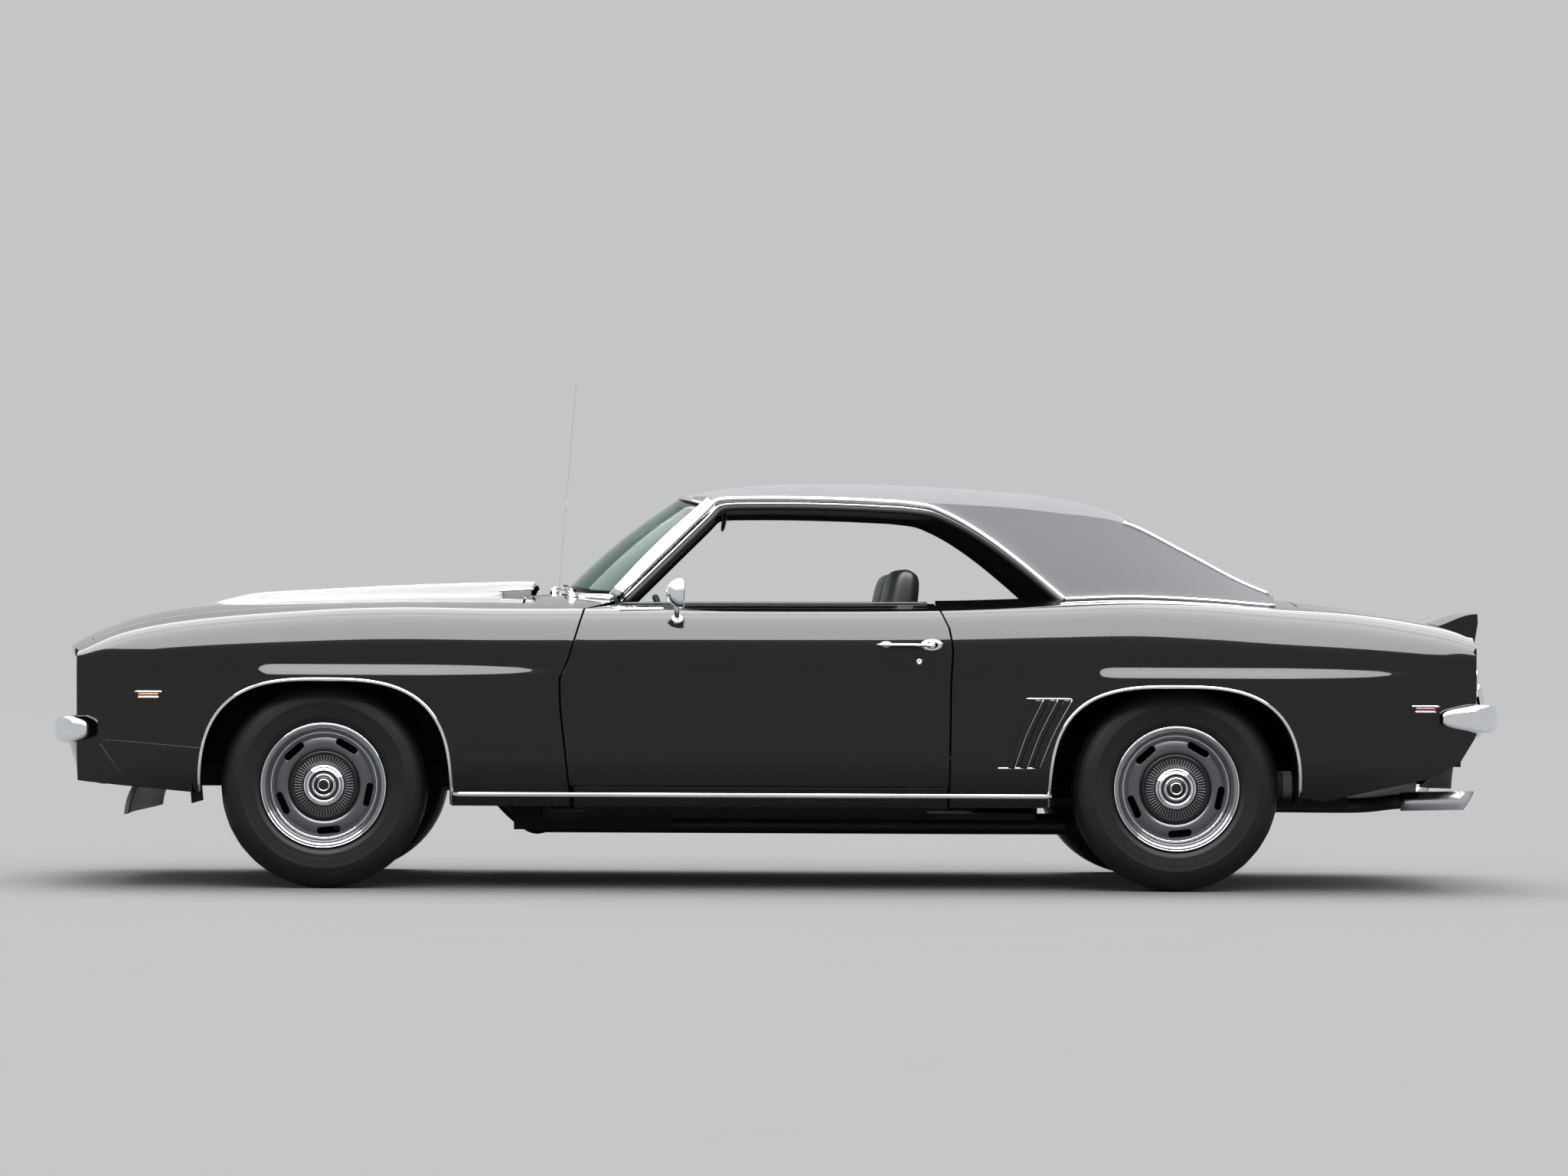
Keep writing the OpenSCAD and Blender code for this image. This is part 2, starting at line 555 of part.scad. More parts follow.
module rear_bumper() {
  z = 561;
  ys = [-770, -700, -560, -400, -200, 0, 200, 400, 560, 700, 770];
  path = concat([[xr + 852, -862, z], [xr + 930, -854, z], [xr + 985, -838, z],
    [xr + 1007, -808, z]], [for (y = ys) [rear_bar_x(y), y, z]],
    [[xr + 1007, 808, z], [xr + 985, 838, z], [xr + 930, 854, z], [xr + 852, 862, z]]);
  color(chrome) {
    bumper_bar(path, bar_depth, 90, -1);
    both_sides() translate([xr + 983 + 2 * seat_gap, 300, 540])
      cube([rear_bar_x(340) - bar_back - seat_gap - xr - 983 - 2 * seat_gap, 40, 45]);
  }
}
module front_valance() {
  zs = [front_bar_z - front_bar_height / 2 - seat_gap, 430, 385, 335];
  outer = [for (z = zs) [for (w = spread(14)) let (v = lerp(-1, 1, w),
    half = low_y(xf - 790, z) - fender_wall - 8,
    lean = 46 * clamp01((465 - z) / 130))
    [xf - 800 - 76 * (1 - pow(abs(v), 2.2)) + lean, v * half, z]]];
  color(black) shell([for (k = [3 : -1 : 0]) outer[k]],
    shifted([for (k = [3 : -1 : 0]) outer[k]], [12, 0, 0]));
}
module air_dam() {
  edge = function (y) xf - 692 + 50 * pow(abs(y) / 700, 2);
  color(dark) {
    curved_band(function (y) edge(y) + 12, edge, 700, 216, 335 - seat_gap);
    curved_band(function (y) xf - 560 - seat_gap,
      function (y) xf - 824 + 76 * pow(abs(y) / 740, 2.2), 600, 323, 335 - seat_gap);
  }
}
module tail_panel() {
  x = xr + 965 + seat_gap;
  rows = [for (row = [1 : 10]) side_point(xr + 965, row, function (q) hem(REAR_HEM, q),
    function (q, z, r) q, function (q) deck_half)];
  outline = [for (p = rows) [p[1], p[2]]];
  left = [for (k = [9 : -1 : 0]) [-outline[k][0], outline[k][1]]];
  color(black) difference() {
    translate([x, 0, 0]) rotate([90, 0, 90]) linear_extrude(18) polygon(concat(
      [[deck_half + panel_gap, tail_edge - 6], [deck_half + panel_gap, outline[0][1]]],
      outline, [[700, 400], [600, 335], [-600, 335], [-700, 400]], left,
      [[-deck_half - panel_gap, outline[0][1]], [-deck_half - panel_gap, tail_edge - 6]]));
    both_sides() for (k = [0 : 2]) {
      translate([x + 6, 330 + k * 132, 632]) cube([30, 120, 84]);
    }
  }
  color(dark) both_sides() translate([x, 560, tail_edge - 6])
    cube([18, 24, 6 - seat_gap]);
}
module tail_lamps() {
  color("#8f1218") both_sides() for (k = [0 : 2]) {
    translate([xr + 965 + 2 * seat_gap + 6, 330 + k * 132 + seat_gap, 632 + seat_gap])
      cube([20, 120 - 2 * seat_gap, 84 - 2 * seat_gap]);
  }
}
module plate_bracket() {
  x = xr + 983 + 2 * seat_gap;
  color(steel) difference() {
    translate([x, -115, 395]) cube([4, 230, 100]);
    for (side = [-1, 1]) {
      translate([x - 1, side * plate_hole_spacing / 2, 478]) rotate([0, 90, 0])
        cylinder(h = 6, r = plate_hole_radius);
    }
  }
}

// Floor, firewall, sills and trunk floor
floor_z = 225;
floor_wall = 20;
tub_half = side_base - 333;
sill_inner = side_base - 238;
tunnel_half = 150;
tunnel_wall = 15;
tunnel_top = 415;
firewall_x = xf + 700;
firewall_wall = 16;
riser_x = xr - 640;
step_x = xr - 446;
trunk_z = 460;
floor_front = firewall_x + firewall_wall + seat_gap;
module floor_pan() {
  color(dark) both_sides() translate([floor_front, tunnel_half + seat_gap, floor_z])
    cube([step_x - seat_gap - floor_front, sill_inner - tunnel_half - 2 * seat_gap, floor_wall]);
}
module tunnel() {
  color(dark) difference() {
    translate([floor_front, -tunnel_half, floor_z])
      cube([riser_x - seat_gap - floor_front, 2 * tunnel_half, tunnel_top - floor_z]);
    translate([floor_front - 10, tunnel_wall - tunnel_half, floor_z - 10])
      cube([riser_x + 20 - floor_front, 2 * (tunnel_half - tunnel_wall),
        tunnel_top - tunnel_wall - floor_z + 10]);
  }
}
module firewall() {
  top = top_z(xf + 708, cowl_half) - cowl_wall - seat_gap - 0.5;
  color(dark) difference() {
    translate([firewall_x, -cowl_half, floor_z])
      cube([firewall_wall, 2 * cowl_half, top - floor_z]);
    tunnel_cut(firewall_x - 10, firewall_x + firewall_wall + 10);
  }
}
module tunnel_cut(x0, x1) {
  translate([x0, tunnel_wall - tunnel_half, floor_z - 10])
    cube([x1 - x0, 2 * (tunnel_half - tunnel_wall), tunnel_top - tunnel_wall - floor_z + 10]);
}
// Box under the rear seat, open below for the tunnel
module rear_seat_base() {
  foot = floor_z + floor_wall + seat_gap;
  color(dark) difference() {
    union() {
      translate([riser_x, -tub_half, foot]) cube([12, 2 * tub_half, tunnel_top - foot]);
      translate([riser_x, -tub_half, tunnel_top - 15])
        cube([step_x - seat_gap - riser_x, 2 * tub_half, 15]);
      translate([riser_x, -tunnel_half, floor_z])
        cube([step_x - seat_gap - riser_x, 2 * tunnel_half, tunnel_top - floor_z]);
    }
    tunnel_cut(riser_x - 10, step_x + 10);
  }
}
module sills() {
  color(dark) both_sides() {
    translate([xf + 840, 0, 0]) rotate([90, 0, 90]) linear_extrude(wheelbase - 1640)
      polygon([[sill_inner, floor_z], [sill_inner + 20, floor_z],
        [low_y(xf + 1400, sill_height), sill_height],
        [low_y(xf + 1400, sill_height + 61), sill_height + 61], [sill_inner, sill_height + 61]]);
    translate([xf + 900, sill_inner + 90, sill_height + 61])
      cube([wheelbase - 1760, 14, door_foot - 61 - seat_gap]);
  }
}
module trunk_floor() {
  tail = xr + 965;
  color(dark) {
    difference() {
      translate([step_x, -tub_half, floor_z])
        cube([16, 2 * tub_half, trunk_z + floor_wall - floor_z]);
      tunnel_cut(step_x - 10, step_x + 30);
    }
    translate([step_x, -tub_half, trunk_z]) cube([tail - step_x, 2 * tub_half, floor_wall]);
    translate([tail - 14, -tub_half, trunk_z + 10]) cube([14, 2 * tub_half, 200]);
    both_sides() translate([step_x, 430, trunk_z - 60]) cube([tail - step_x, 70, 62]);
  }
}
module rear_bulkhead() {
  shelf_z = belt_height - 12;
  foot = trunk_z + floor_wall + seat_gap;
  color(dark) {
    translate([xr - 150, -tub_half, foot]) cube([16, 2 * tub_half, shelf_z - foot]);
    translate([xr - 150, -tub_half, shelf_z - 15]) cube([380, 2 * tub_half, 15]);
  }
}
module inner_fenders() {
  flange_z = top_z(xf - 520, 690) - fender_wall - seat_gap - 1.3;
  color(dark) both_sides() difference() {
    union() {
      translate([xf - 520, 445, 405]) cube([1220 - seat_gap, 15, flange_z - 405]);
      translate([xf - 520, 445, flange_z - 12]) cube([1220 - seat_gap, 250, 12]);
    }
    translate([xf - 85, 440, 400]) cube([170, 30, 95]);
  }
}

// Cabin
module dashboard() {
  tilt = column_angle;
  color(dark) {
    translate([0, cowl_half, 0]) rotate([90, 0, 0]) linear_extrude(2 * cowl_half) polygon([
      [floor_front, belt_height - 230], [floor_front, belt_height - 60],
      [xf + 780, belt_height - 44], [xf + 900, belt_height - 15.6],
      [xf + 990, belt_height - 22], [xf + 1010, belt_height - 60], [xf + 985, belt_height - 140],
      [xf + 940, belt_height - 240]]);
    translate([column_x, -seat_side, column_z]) rotate([0, 90 - tilt, 0])
      translate([0, 0, -260]) cylinder(h = 225, r = 24);
  }
}
module steering_wheel() {
  color(dark) translate([column_x, -seat_side, column_z]) rotate([0, 90 - column_angle, 0]) {
    rotate_extrude() translate([wheel_radius - 11, 0]) circle(r = 11);
    translate([0, 0, -34.5]) cylinder(h = 40, r = 30);
    for (a = [0, 120, 240]) {
      rotate([0, 0, a + 180]) translate([20, -14, -6]) cube([wheel_radius - 34, 28, 6]);
    }
  }
}
module front_seat() {
  translate([0, seat_width / 2, 0]) rotate([90, 0, 0]) linear_extrude(seat_width) polygon([
    [xf + 1300, 300], [xf + 1290, 400], [xf + 1320, 440], [xf + 1420, 452], [xf + 1700, 420],
    [xf + 1762, 760], [xf + 1796, seat_top - 30], [xf + 1830, seat_top],
    [xf + 1880, seat_top - 6], [xf + 1896, seat_top - 60], [xf + 1870, 700],
    [xf + 1820, 400], [xf + 1800, 300]]);
  translate([xf + 1340, -200, 245 + seat_gap]) cube([420, 40, 60]);
  translate([xf + 1340, 160, 245 + seat_gap]) cube([420, 40, 60]);
}
module seat_left() { color(dark) translate([0, -seat_side, 0]) front_seat(); }
module seat_right() { color(dark) translate([0, seat_side, 0]) front_seat(); }
module rear_seat() {
  color(dark) translate([0, rear_seat_half, 0]) rotate([90, 0, 0])
    linear_extrude(2 * rear_seat_half) polygon([
      [xr - 638, 415 + seat_gap], [xr - 650, 480], [xr - 620, 510], [xr - 330, 490],
      [xr - 240, 850], [xr - 215, 895], [xr - 156, 890], [xr - 150 - seat_gap, 480 + seat_gap],
      [xr - 446 - seat_gap, 480 + seat_gap], [xr - 446 - seat_gap, 415 + seat_gap]]);
}

// Mechanical pieces
module engine() {
  color(steel) {
    translate([xf - 290, -280, 400]) cube([engine_length, 560, belt_height - 560]);
    translate([xf + 30, 0, belt_height - 160]) cylinder(h = 70, r = 175);
    translate([xf - 290 + engine_length, -110, 300]) cube([330, 220, 240]);
  }
}
module radiator() {
  hood_stop_z = top_z(xf - 528, 450) - lid_wall - seat_gap - 1.9;
  color(dark) difference() {
    union() {
      translate([xf - 536, -600, 390 + seat_gap]) cube([16 - seat_gap, 1200, belt_height - 520]);
      both_sides() {
        translate([lip_x(511) + 35.5 + seat_gap, 497, 600])
          cube([xf - 530 - lip_x(511) - 35.5 - seat_gap, 14, 60]);
        translate([xf - 528, 450, 790]) cylinder(h = hood_stop_z - 790, r = 6);
      }
    }
    translate([xf - 540, -330, 420]) cube([30, 660, 340]);
  }
  color(steel) translate([xf - 530, -335, 415]) cube([50, 670, 350]);
}
module front_subframe() {
  arm_z = hub_z - 142;
  iron_x = front_bar_x(400) + bar_back + seat_gap + 0.6;
  color(dark) both_sides() {
    translate([xf - 560, 330, 320]) cube([1250, 100, 70]);
    translate([xf + 600, 330, 180]) cube([90, 100, 200]);
    translate([iron_x, 360, 484]) cube([xf - 556 - iron_x, 40, 50]);
    translate([xf - 596, 360, 336]) cube([40, 40, 198]);
    translate([xf - 60, 0, 250]) cube([120, 380, 80]);
    translate([0, 0, arm_z]) linear_extrude(22) polygon([[xf - 150, 360], [xf + 110, 360],
      [xf + 30, kingpin_side - 60], [xf + 24, kingpin_side + 22], [xf - 24, kingpin_side + 22],
      [xf - 30, kingpin_side - 60]]);
    translate([xf - 60, 360, arm_z]) cube([120, 40, 100]);
    translate([xf, 500, arm_z + 20]) cylinder(h = 262, r = 45);
    translate([0, 0, hub_z + 121]) linear_extrude(16) polygon([[xf - 60, 400], [xf + 60, 400],
      [xf + 30, kingpin_side - 60], [xf + 22, kingpin_side + 20], [xf - 22, kingpin_side + 20],
      [xf - 30, kingpin_side - 60]]);
    translate([xf - 60, 380, 385]) cube([120, 50, 84]);
  }
}
// Rails under the floor, in line with the subframe's rear legs
module floor_rails() {
  color(dark) both_sides() translate([xf + 690 + seat_gap, 330, 180])
    cube([430 - seat_gap, 100, floor_z - 180 - seat_gap]);
}
module rear_axle() {
  shaft = xr - (xf - 290 + engine_length + 330) - seat_gap;
  color(dark) {
    translate([xr, 0, hub_z]) rotate([90, 0, 0]) cylinder(h = rear_track - 150, r = 38, center = true);
    translate([xr, 0, hub_z]) rotate([90, 0, 0]) cylinder(h = 200, r = 120, center = true);
    translate([xr, 0, hub_z]) rotate([0, -90, 0]) cylinder(h = shaft, r = 36);
    both_sides() {
      translate([xr, rear_track / 2 - 80, hub_z]) rotate([-90, 0, 0])
        cylinder(h = 110, r = spindle_radius);
      translate([xr - 428, 465, hub_z - 66]) cube([1018, 62, 28]);
      translate([xr - 50, 460, hub_z - 45]) cube([100, 72, 60]);
      translate([xr - 428, 465, hub_z - 66]) cube([30, 35, 134 - seat_gap]);
      translate([xr + 560, 465, hub_z - 66]) cube([30, 35, 134 - seat_gap]);
    }
  }
}
// Round pipe along a route, as one closed body with a ring of points at each bend
module pipe(points, r) {
  sides = 12;
  n = len(points);
  rings = [for (i = [0 : n - 1])
    let (a = points[max(0, i - 1)], b = points[min(n - 1, i + 1)], t = (b - a) / norm(b - a),
      across = cross(t, [0, 0, 1]), u = across / norm(across), v = cross(u, t))
    [for (k = [0 : sides - 1]) points[i] + r * (cos(360 / sides * k) * u + sin(360 / sides * k) * v)]];
  walls = [for (i = [0 : n - 2]) for (k = [0 : sides - 1])
    let (a = i * sides + k, b = i * sides + (k + 1) % sides, c = b + sides, d = a + sides)
    each [[a, b, c], [a, c, d]]];
  caps = [[for (k = [sides - 1 : -1 : 0]) k], [for (k = [0 : sides - 1]) (n - 1) * sides + k]];
  polyhedron([for (ring = rings) for (p = ring) p], concat(walls, caps), convexity = 6);
}
joint_x = xf + 700;
module downpipes() {
  color(steel) both_sides()
    pipe([[xf - 290 + engine_length + seat_gap, 240, 430], [xf + 400, 240, 430],
      [xf + 480, 242, 385], [xf + 560, 248, 270], [xf + 650, 250, 193], [joint_x, 250, 193]],
      pipe_radius);
}
module exhaust() {
  box_x = xr + 170;
  color(steel) {
    both_sides() {
      pipe([[joint_x + seat_gap, 250, 193], [xr - 420, 250, 193],
        [xr - 240, 330, 200], [box_x - seat_gap, 330, 240]], pipe_radius);
      pipe([[box_x + 150 + seat_gap, 400, 270], [xr + 640, 400, 270], [xr + 760, 480, 285],
        [xr + 990, 500, 290]], pipe_radius);
    }
    translate([box_x, -450, 200]) cube([150, 900, 130]);
  }
}
module fuel_tank() {
  color(steel) {
    translate([xr + 400, -350, 270]) cube([440, 700, 130]);
    translate([xr + 440, -330, 400]) cube([380, 660, 60 - seat_gap]);
  }
}
module antenna() {
  x = xf + 715;
  y = 700;
  lean = 4.5;
  color(chrome) translate([x, y, top_z(x, y) + seat_gap + 1.8]) {
    cylinder(h = 26, r1 = 16, r2 = 7);
    rotate([0, lean, 0]) cylinder(h = mast_length, r = 2.5);
  }
}

// Steering and wheels
module steering_linkage() {
  z = hub_z - 99;
  x = xf + arm_back;
  side = kingpin_side - arm_inside;
  color(steel) {
    translate([x, 0, z]) rotate([90, 0, 0]) cylinder(h = 2 * side, r = 11, center = true);
    both_sides() translate([x, side, z - 11]) cylinder(h = 22, r = 17);
  }
}
module knuckle() {
  z0 = hub_z - 142 + 22 + 0.5;
  eye = [xf + arm_back, kingpin_side - arm_inside];
  color(dark) {
    translate([xf - 22, kingpin_side - 20, z0]) cube([44, 40, hub_z + 120.5 - z0]);
    translate([xf, kingpin_side, hub_z]) rotate([-90, 0, 0])
      cylinder(h = front_track / 2 - kingpin_side + 32, r = spindle_radius);
    translate([0, 0, hub_z - 87.5]) linear_extrude(14) polygon([[xf, kingpin_side - 20],
      [xf, kingpin_side + 16], [xf + 60, kingpin_side - 14], [eye[0] + 12, eye[1] + 10],
      [eye[0] - 8, eye[1] - 12]]);
    translate([eye[0], eye[1], hub_z - 87.5]) cylinder(h = 14, r = 17);
    translate([xf - 20, kingpin_side - 4, hub_z + 60]) cube([120, 40, 60]);
  }
}
module knuckle_right() { knuckle(); }
module knuckle_left() { mirror([0, 1, 0]) knuckle(); }

// A rim with its axis along Z and its outer face up
module rim() {
  color(steel) difference() {
    union() {
      rotate_extrude() polygon([[rim_radius - 21, -92], [rim_radius - 1, -92],
        [rim_radius - 1, -88], [rim_radius - 13, -84], [rim_radius - 13, 84],
        [rim_radius, 90], [rim_radius, 98], [rim_radius - 9, 100], [rim_radius - 18, 88],
        [rim_radius - 21, 70]]);
      rotate_extrude() polygon([[spindle_radius + spindle_play, -6], [64, -6], [70, 20],
        [112, 34], [135, 48], [160, 48], [rim_radius - 20.5, 28], [rim_radius - 20.5, 38], [162, 60], [133, 60],
        [108, 50], [100, 60], [70, 66], [62, 76], [30, 82], [0, 84], [0, 60],
        [spindle_radius + spindle_play, 60]]);
      translate([0, 0, -26]) rotate_extrude()
        polygon([[spindle_radius + spindle_play, 0], [140, 0], [140, 20], [50, 20.5],
          [spindle_radius + spindle_play, 20.5]]);
    }
    for (k = [0 : slot_count - 1]) {
      rotate([0, 0, 360 / slot_count * k + 18]) translate([146, 0, 30]) {
        translate([-11, -27, 0]) cube([22, 54, 50]);
        translate([0, -27, 0]) cylinder(h = 50, r = 11);
        translate([0, 27, 0]) cylinder(h = 50, r = 11);
      }
    }
  }
}
module tyre() {
  half = tyre_width / 2;
  bead = rim_radius - 13 + seat_gap;
  color(black) rotate_extrude() polygon([[bead, 83.5], [bead, -83.5],
    [rim_radius + 0.5, -87.3], [rim_radius + 4, -92],
    [230, -half + 2], [262, -half], [300, -half + 8], [tyre_radius - 12, -half + 26],
    [tyre_radius - 3, -half + 40], [tyre_radius, -30], [tyre_radius, 30],
    [tyre_radius - 3, half - 40], [tyre_radius - 12, half - 26], [300, half - 8],
    [262, half], [230, half - 2], [rim_radius + 4, 92], [rim_radius + 0.5, 89.3]]);
}
module at_wheel(x, track, side) {
  translate([x, side * track / 2, hub_z]) rotate([-90 * side, 0, 0]) children();
}
module rim_front_left() { at_wheel(xf, front_track, -1) rim(); }
module rim_front_right() { at_wheel(xf, front_track, 1) rim(); }
module rim_rear_left() { at_wheel(xr, rear_track, -1) rim(); }
module rim_rear_right() { at_wheel(xr, rear_track, 1) rim(); }
module tyre_front_left() { at_wheel(xf, front_track, -1) tyre(); }
module tyre_front_right() { at_wheel(xf, front_track, 1) tyre(); }
module tyre_rear_left() { at_wheel(xr, rear_track, -1) tyre(); }
module tyre_rear_right() { at_wheel(xr, rear_track, 1) tyre(); }

floor_pan();
tunnel();
firewall();
rear_seat_base();
sills();
trunk_floor();
rear_bulkhead();
floor_rails();
downpipes();
inner_fenders();
fender_left();
fender_right();
quarter_left();
quarter_right();
cowl();
nose_panel();
front_valance();
air_dam();
grille();
headlamps();
front_bumper();
roof();
windshield();
rear_window();
rear_filler();
tail_panel();
tail_lamps();
rear_bumper();
plate_bracket();
hood();
deck_lid();
spoiler();
door_left();
door_right();
mirror_left();
dashboard();
seat_left();
seat_right();
rear_seat();
engine();
radiator();
front_subframe();
rear_axle();
exhaust();
fuel_tank();
antenna();
steering_wheel();
steering_linkage();
knuckle_left();
knuckle_right();
rim_front_left();
rim_front_right();
rim_rear_left();
rim_rear_right();
tyre_front_left();
tyre_front_right();
tyre_rear_left();
tyre_rear_right();
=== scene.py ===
import json
from math import cos, copysign, pi, radians, sin, sqrt

import bmesh
import bpy
import numpy as np
from numpy import array, linspace
from mathutils import Matrix, Vector


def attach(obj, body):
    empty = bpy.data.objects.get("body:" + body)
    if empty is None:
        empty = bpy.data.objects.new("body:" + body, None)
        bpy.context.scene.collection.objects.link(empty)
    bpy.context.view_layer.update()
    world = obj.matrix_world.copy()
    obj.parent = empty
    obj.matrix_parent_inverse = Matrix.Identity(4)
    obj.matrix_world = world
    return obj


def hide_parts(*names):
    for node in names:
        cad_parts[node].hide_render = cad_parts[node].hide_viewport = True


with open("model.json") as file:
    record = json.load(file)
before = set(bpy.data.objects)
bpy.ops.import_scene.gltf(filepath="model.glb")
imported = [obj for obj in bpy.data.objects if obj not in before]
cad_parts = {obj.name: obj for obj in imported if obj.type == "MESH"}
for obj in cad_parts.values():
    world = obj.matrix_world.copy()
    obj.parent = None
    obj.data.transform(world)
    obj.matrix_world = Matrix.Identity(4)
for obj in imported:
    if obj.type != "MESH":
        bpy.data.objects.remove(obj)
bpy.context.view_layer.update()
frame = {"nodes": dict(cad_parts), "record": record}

MM = 0.001
CAR = "car_body"

# The sizes and tables of the CAD source, in millimetres
LENGTH = 4733.0
XF = -LENGTH / 2 + 915
XR = XF + 2743
HUB_Z = 332.0
SIDE_BASE = 918.0
BELT = 930.0
WAIST = 735.0
SILL = 268.0
ROOF_TOP = 1335.0
FLARE = 22.0
GAP = 6.0
COWL_HALF = 660.0
HOOD_HALF = 636.0
DECK_HALF = 620.0
ROOF_HALF = 612.0
DOOR_INNER = 725.0
BULGE = 46.0
LEDGE_FOOT = WAIST - 53
FRONT_ARCH = (XF + 6, 406.0, 668.0)
REAR_ARCH = (XR - 7, 403.0, 655.0)
SAIL_TIP = XR + 330
DECK_TAIL = XR + 945
SEAT_Y = 400
TRACKS = (("front", XF, 1514), ("rear", XR, 1511))
# Columns: place, drop of the crease, inset of the crease, inset of the side, rise of the top
BODY = array([
    [XF - 900, 218, 218, 158, 70], [XF - 800, 168, 183, 113, 72], [XF - 650, 107, 153, 62, 65],
    [XF - 410, 64, 133, 23, 60], [XF, 31, 122, 4, 46], [XF + 250, 23, 119, 1, 46],
    [XF + 540, 26, 118, 0, 55], [XF + 836, 25, 116, 0, 60], [XF + 1000, 24, 115, 0, 100],
    [XR - 760, 20, 112, 0, 105], [XR - 380, 8, 112, 0, 105], [XR - 140, 0, 114, 0, 105],
    [XR + 100, 5, 126, 2, 80], [XR + 280, 15, 142, 9, 55], [XR + 600, 34, 183, 36, 30],
    [XR + 870, 75, 213, 72, 20], [XR + 965, 102, 226, 92, 14]])
# Columns: place, drop of the centre line, inset of the edge, drop of the edge
ROOF = array([
    [XF + 1150, 51, 52, 85], [XF + 1231, 29, 27, 69], [XF + 1431, 5, 6, 63],
    [XF + 1688, 0, 0, 67], [XR - 801, 7, 7, 79], [XR - 545, 23, 22, 92],
    [XR - 358, 42, 40, 110], [XR - 153, 95, 58, 140], [XR + 50, 217, 32, 240],
    [XR + 217, 300, -10, 331], [XR + 330, 365, -40, 380]])
FRONT_HEM = [[XF - 820, 77], [XF - 672, 62], [XF - 401, 38], [XF + 413, 0], [XF + 800, 0]]
REAR_HEM = [[XR - 735, 0], [XR - 411, 0], [XR + 397, 37], [XR + 475, 24], [XR + 835, 103],
    [XR + 916, 152], [XR + 965, 232]]
DOOR_FRONT = [[268, 796], [579, 762], [676, 757.5], [743, 787], [905, 836]]
DOOR_REAR = [[272, 731.4], [664, 729.4], [779, 723], [844, 734.4], [904, 762.2]]


def lerp(a, b, t):
    return a + (b - a) * t


def clamp01(t):
    return min(1.0, max(0.0, t))


def smooth(t):
    c = clamp01(t)
    return c * c * (3 - 2 * c)


def lookup(x, table):
    return float(np.interp(x, [r[0] for r in table], [r[1] for r in table]))


def at(table, column, x):
    """Value of a smooth curve through one column of a table, as in the CAD source."""
    last = len(table) - 1
    i = int(np.clip(np.searchsorted(table[:, 0], x, side="right") - 1, 0, last - 1))
    h = table[i + 1, 0] - table[i, 0]

    def slope(k):
        a, b = max(0, k - 1), min(last, k + 1)
        return (table[b, column] - table[a, column]) / (table[b, 0] - table[a, 0])
    u = (x - table[i, 0]) / h
    t = clamp01(u)
    m0, m1 = slope(i) * h, slope(i + 1) * h
    value = (table[i, column] * (2 * t ** 3 - 3 * t * t + 1) + m0 * (t ** 3 - 2 * t * t + t)
        + table[i + 1, column] * (3 * t * t - 2 * t ** 3) + m1 * (t ** 3 - t * t))
    return value + (u - t) * (m0 if u < 0 else m1)


def crease_z(x): return BELT - at(BODY, 1, x)
def crease_y(x): return SIDE_BASE - at(BODY, 2, x)
def side_y(x): return SIDE_BASE - at(BODY, 3, x)
def top_z(x, y): return crease_z(x) + at(BODY, 4, x) * (1 - (y / crease_y(x)) ** 2)


def flare(x):
    return FLARE * max(smooth((x - (XF - 235)) / 70) * clamp01((XF + 935 - x) / 600),
        smooth((x - (XR - 285)) / 70) * clamp01((XR + 945 - x) / 620))


def tuck(z):
    return 12 * clamp01((LEDGE_FOOT - z) / 240) + 70 * clamp01((SILL + 162 - z) / 162) ** 1.5


def low_y(x, z):
    swell = flare(x) * smooth((WAIST - 8 - z) / 45) * (1 - 0.7 * smooth((600 - z) / 300))
    return side_y(x) - tuck(z) + swell


def arch_z(arch, x):
    t = abs(x - arch[0]) / arch[1]
    return 0 if t >= 1 else SILL + (arch[2] - SILL) * (1 - t ** 3) ** (1 / 3)


def hem_z(arch, table, x):
    """Lower edge of a side panel: its hem, or the wheel arch where that is higher."""
    return max(SILL + lookup(x, table), arch_z(arch, x))


def door_front(z): return XF + lookup(z, DOOR_FRONT)
def door_rear(z): return XR - lookup(z, DOOR_REAR)
def lip_x(y): return XF - 800 - 85 * (1 - (y / 735) ** 2)
def shield_foot_x(y): return XF + 752 + 187 * (abs(y) / COWL_HALF) ** 2.3
def back_foot_x(y): return XR + 292 - 57 * (abs(y) / 600) ** 2
def hood_front(y): return lip_x(y) + 62
def bulge_half(x): return lerp(205, 290, clamp01((x - XF + 475) / 1130))


def bulge(x, y):
    rise = 0.6 * smooth((x - XF + 490) / 260) + 0.4 * clamp01((x - XF + 300) / 920)
    return BULGE * rise * smooth((bulge_half(x) + 45 - abs(y)) / 55)


def hood_rear(y): return XF + 632 + 32 * smooth((bulge_half(XF + 632) + 45 - abs(y)) / 55)
def roof_edge_y(x): return ROOF_HALF - at(ROOF, 2, x)
def roof_edge_z(x): return ROOF_TOP - at(ROOF, 3, x)


def roof_z(x, y):
    c = ROOF_TOP - at(ROOF, 1, x)
    return c - (c - roof_edge_z(x)) * (abs(y) / roof_edge_y(x)) ** 2.2


def shield_top_x(y): return XF + 1140 + 100 * (abs(y) / 560) ** 2.3


def sail_front(v):
    return lerp(XF + 1875, XR - 354, 0.78 * sqrt(max(v, 0)) + 0.22 * v)


def sail_point(s, v):
    x = lerp(sail_front(v), SAIL_TIP, s)
    base = crease_y(x) - 65
    bow = 14 * sin(pi * v) * (1 - s)
    return (x, lerp(roof_edge_y(x), base, v) + bow, lerp(roof_edge_z(x), top_z(x, base) + 2.7, v))


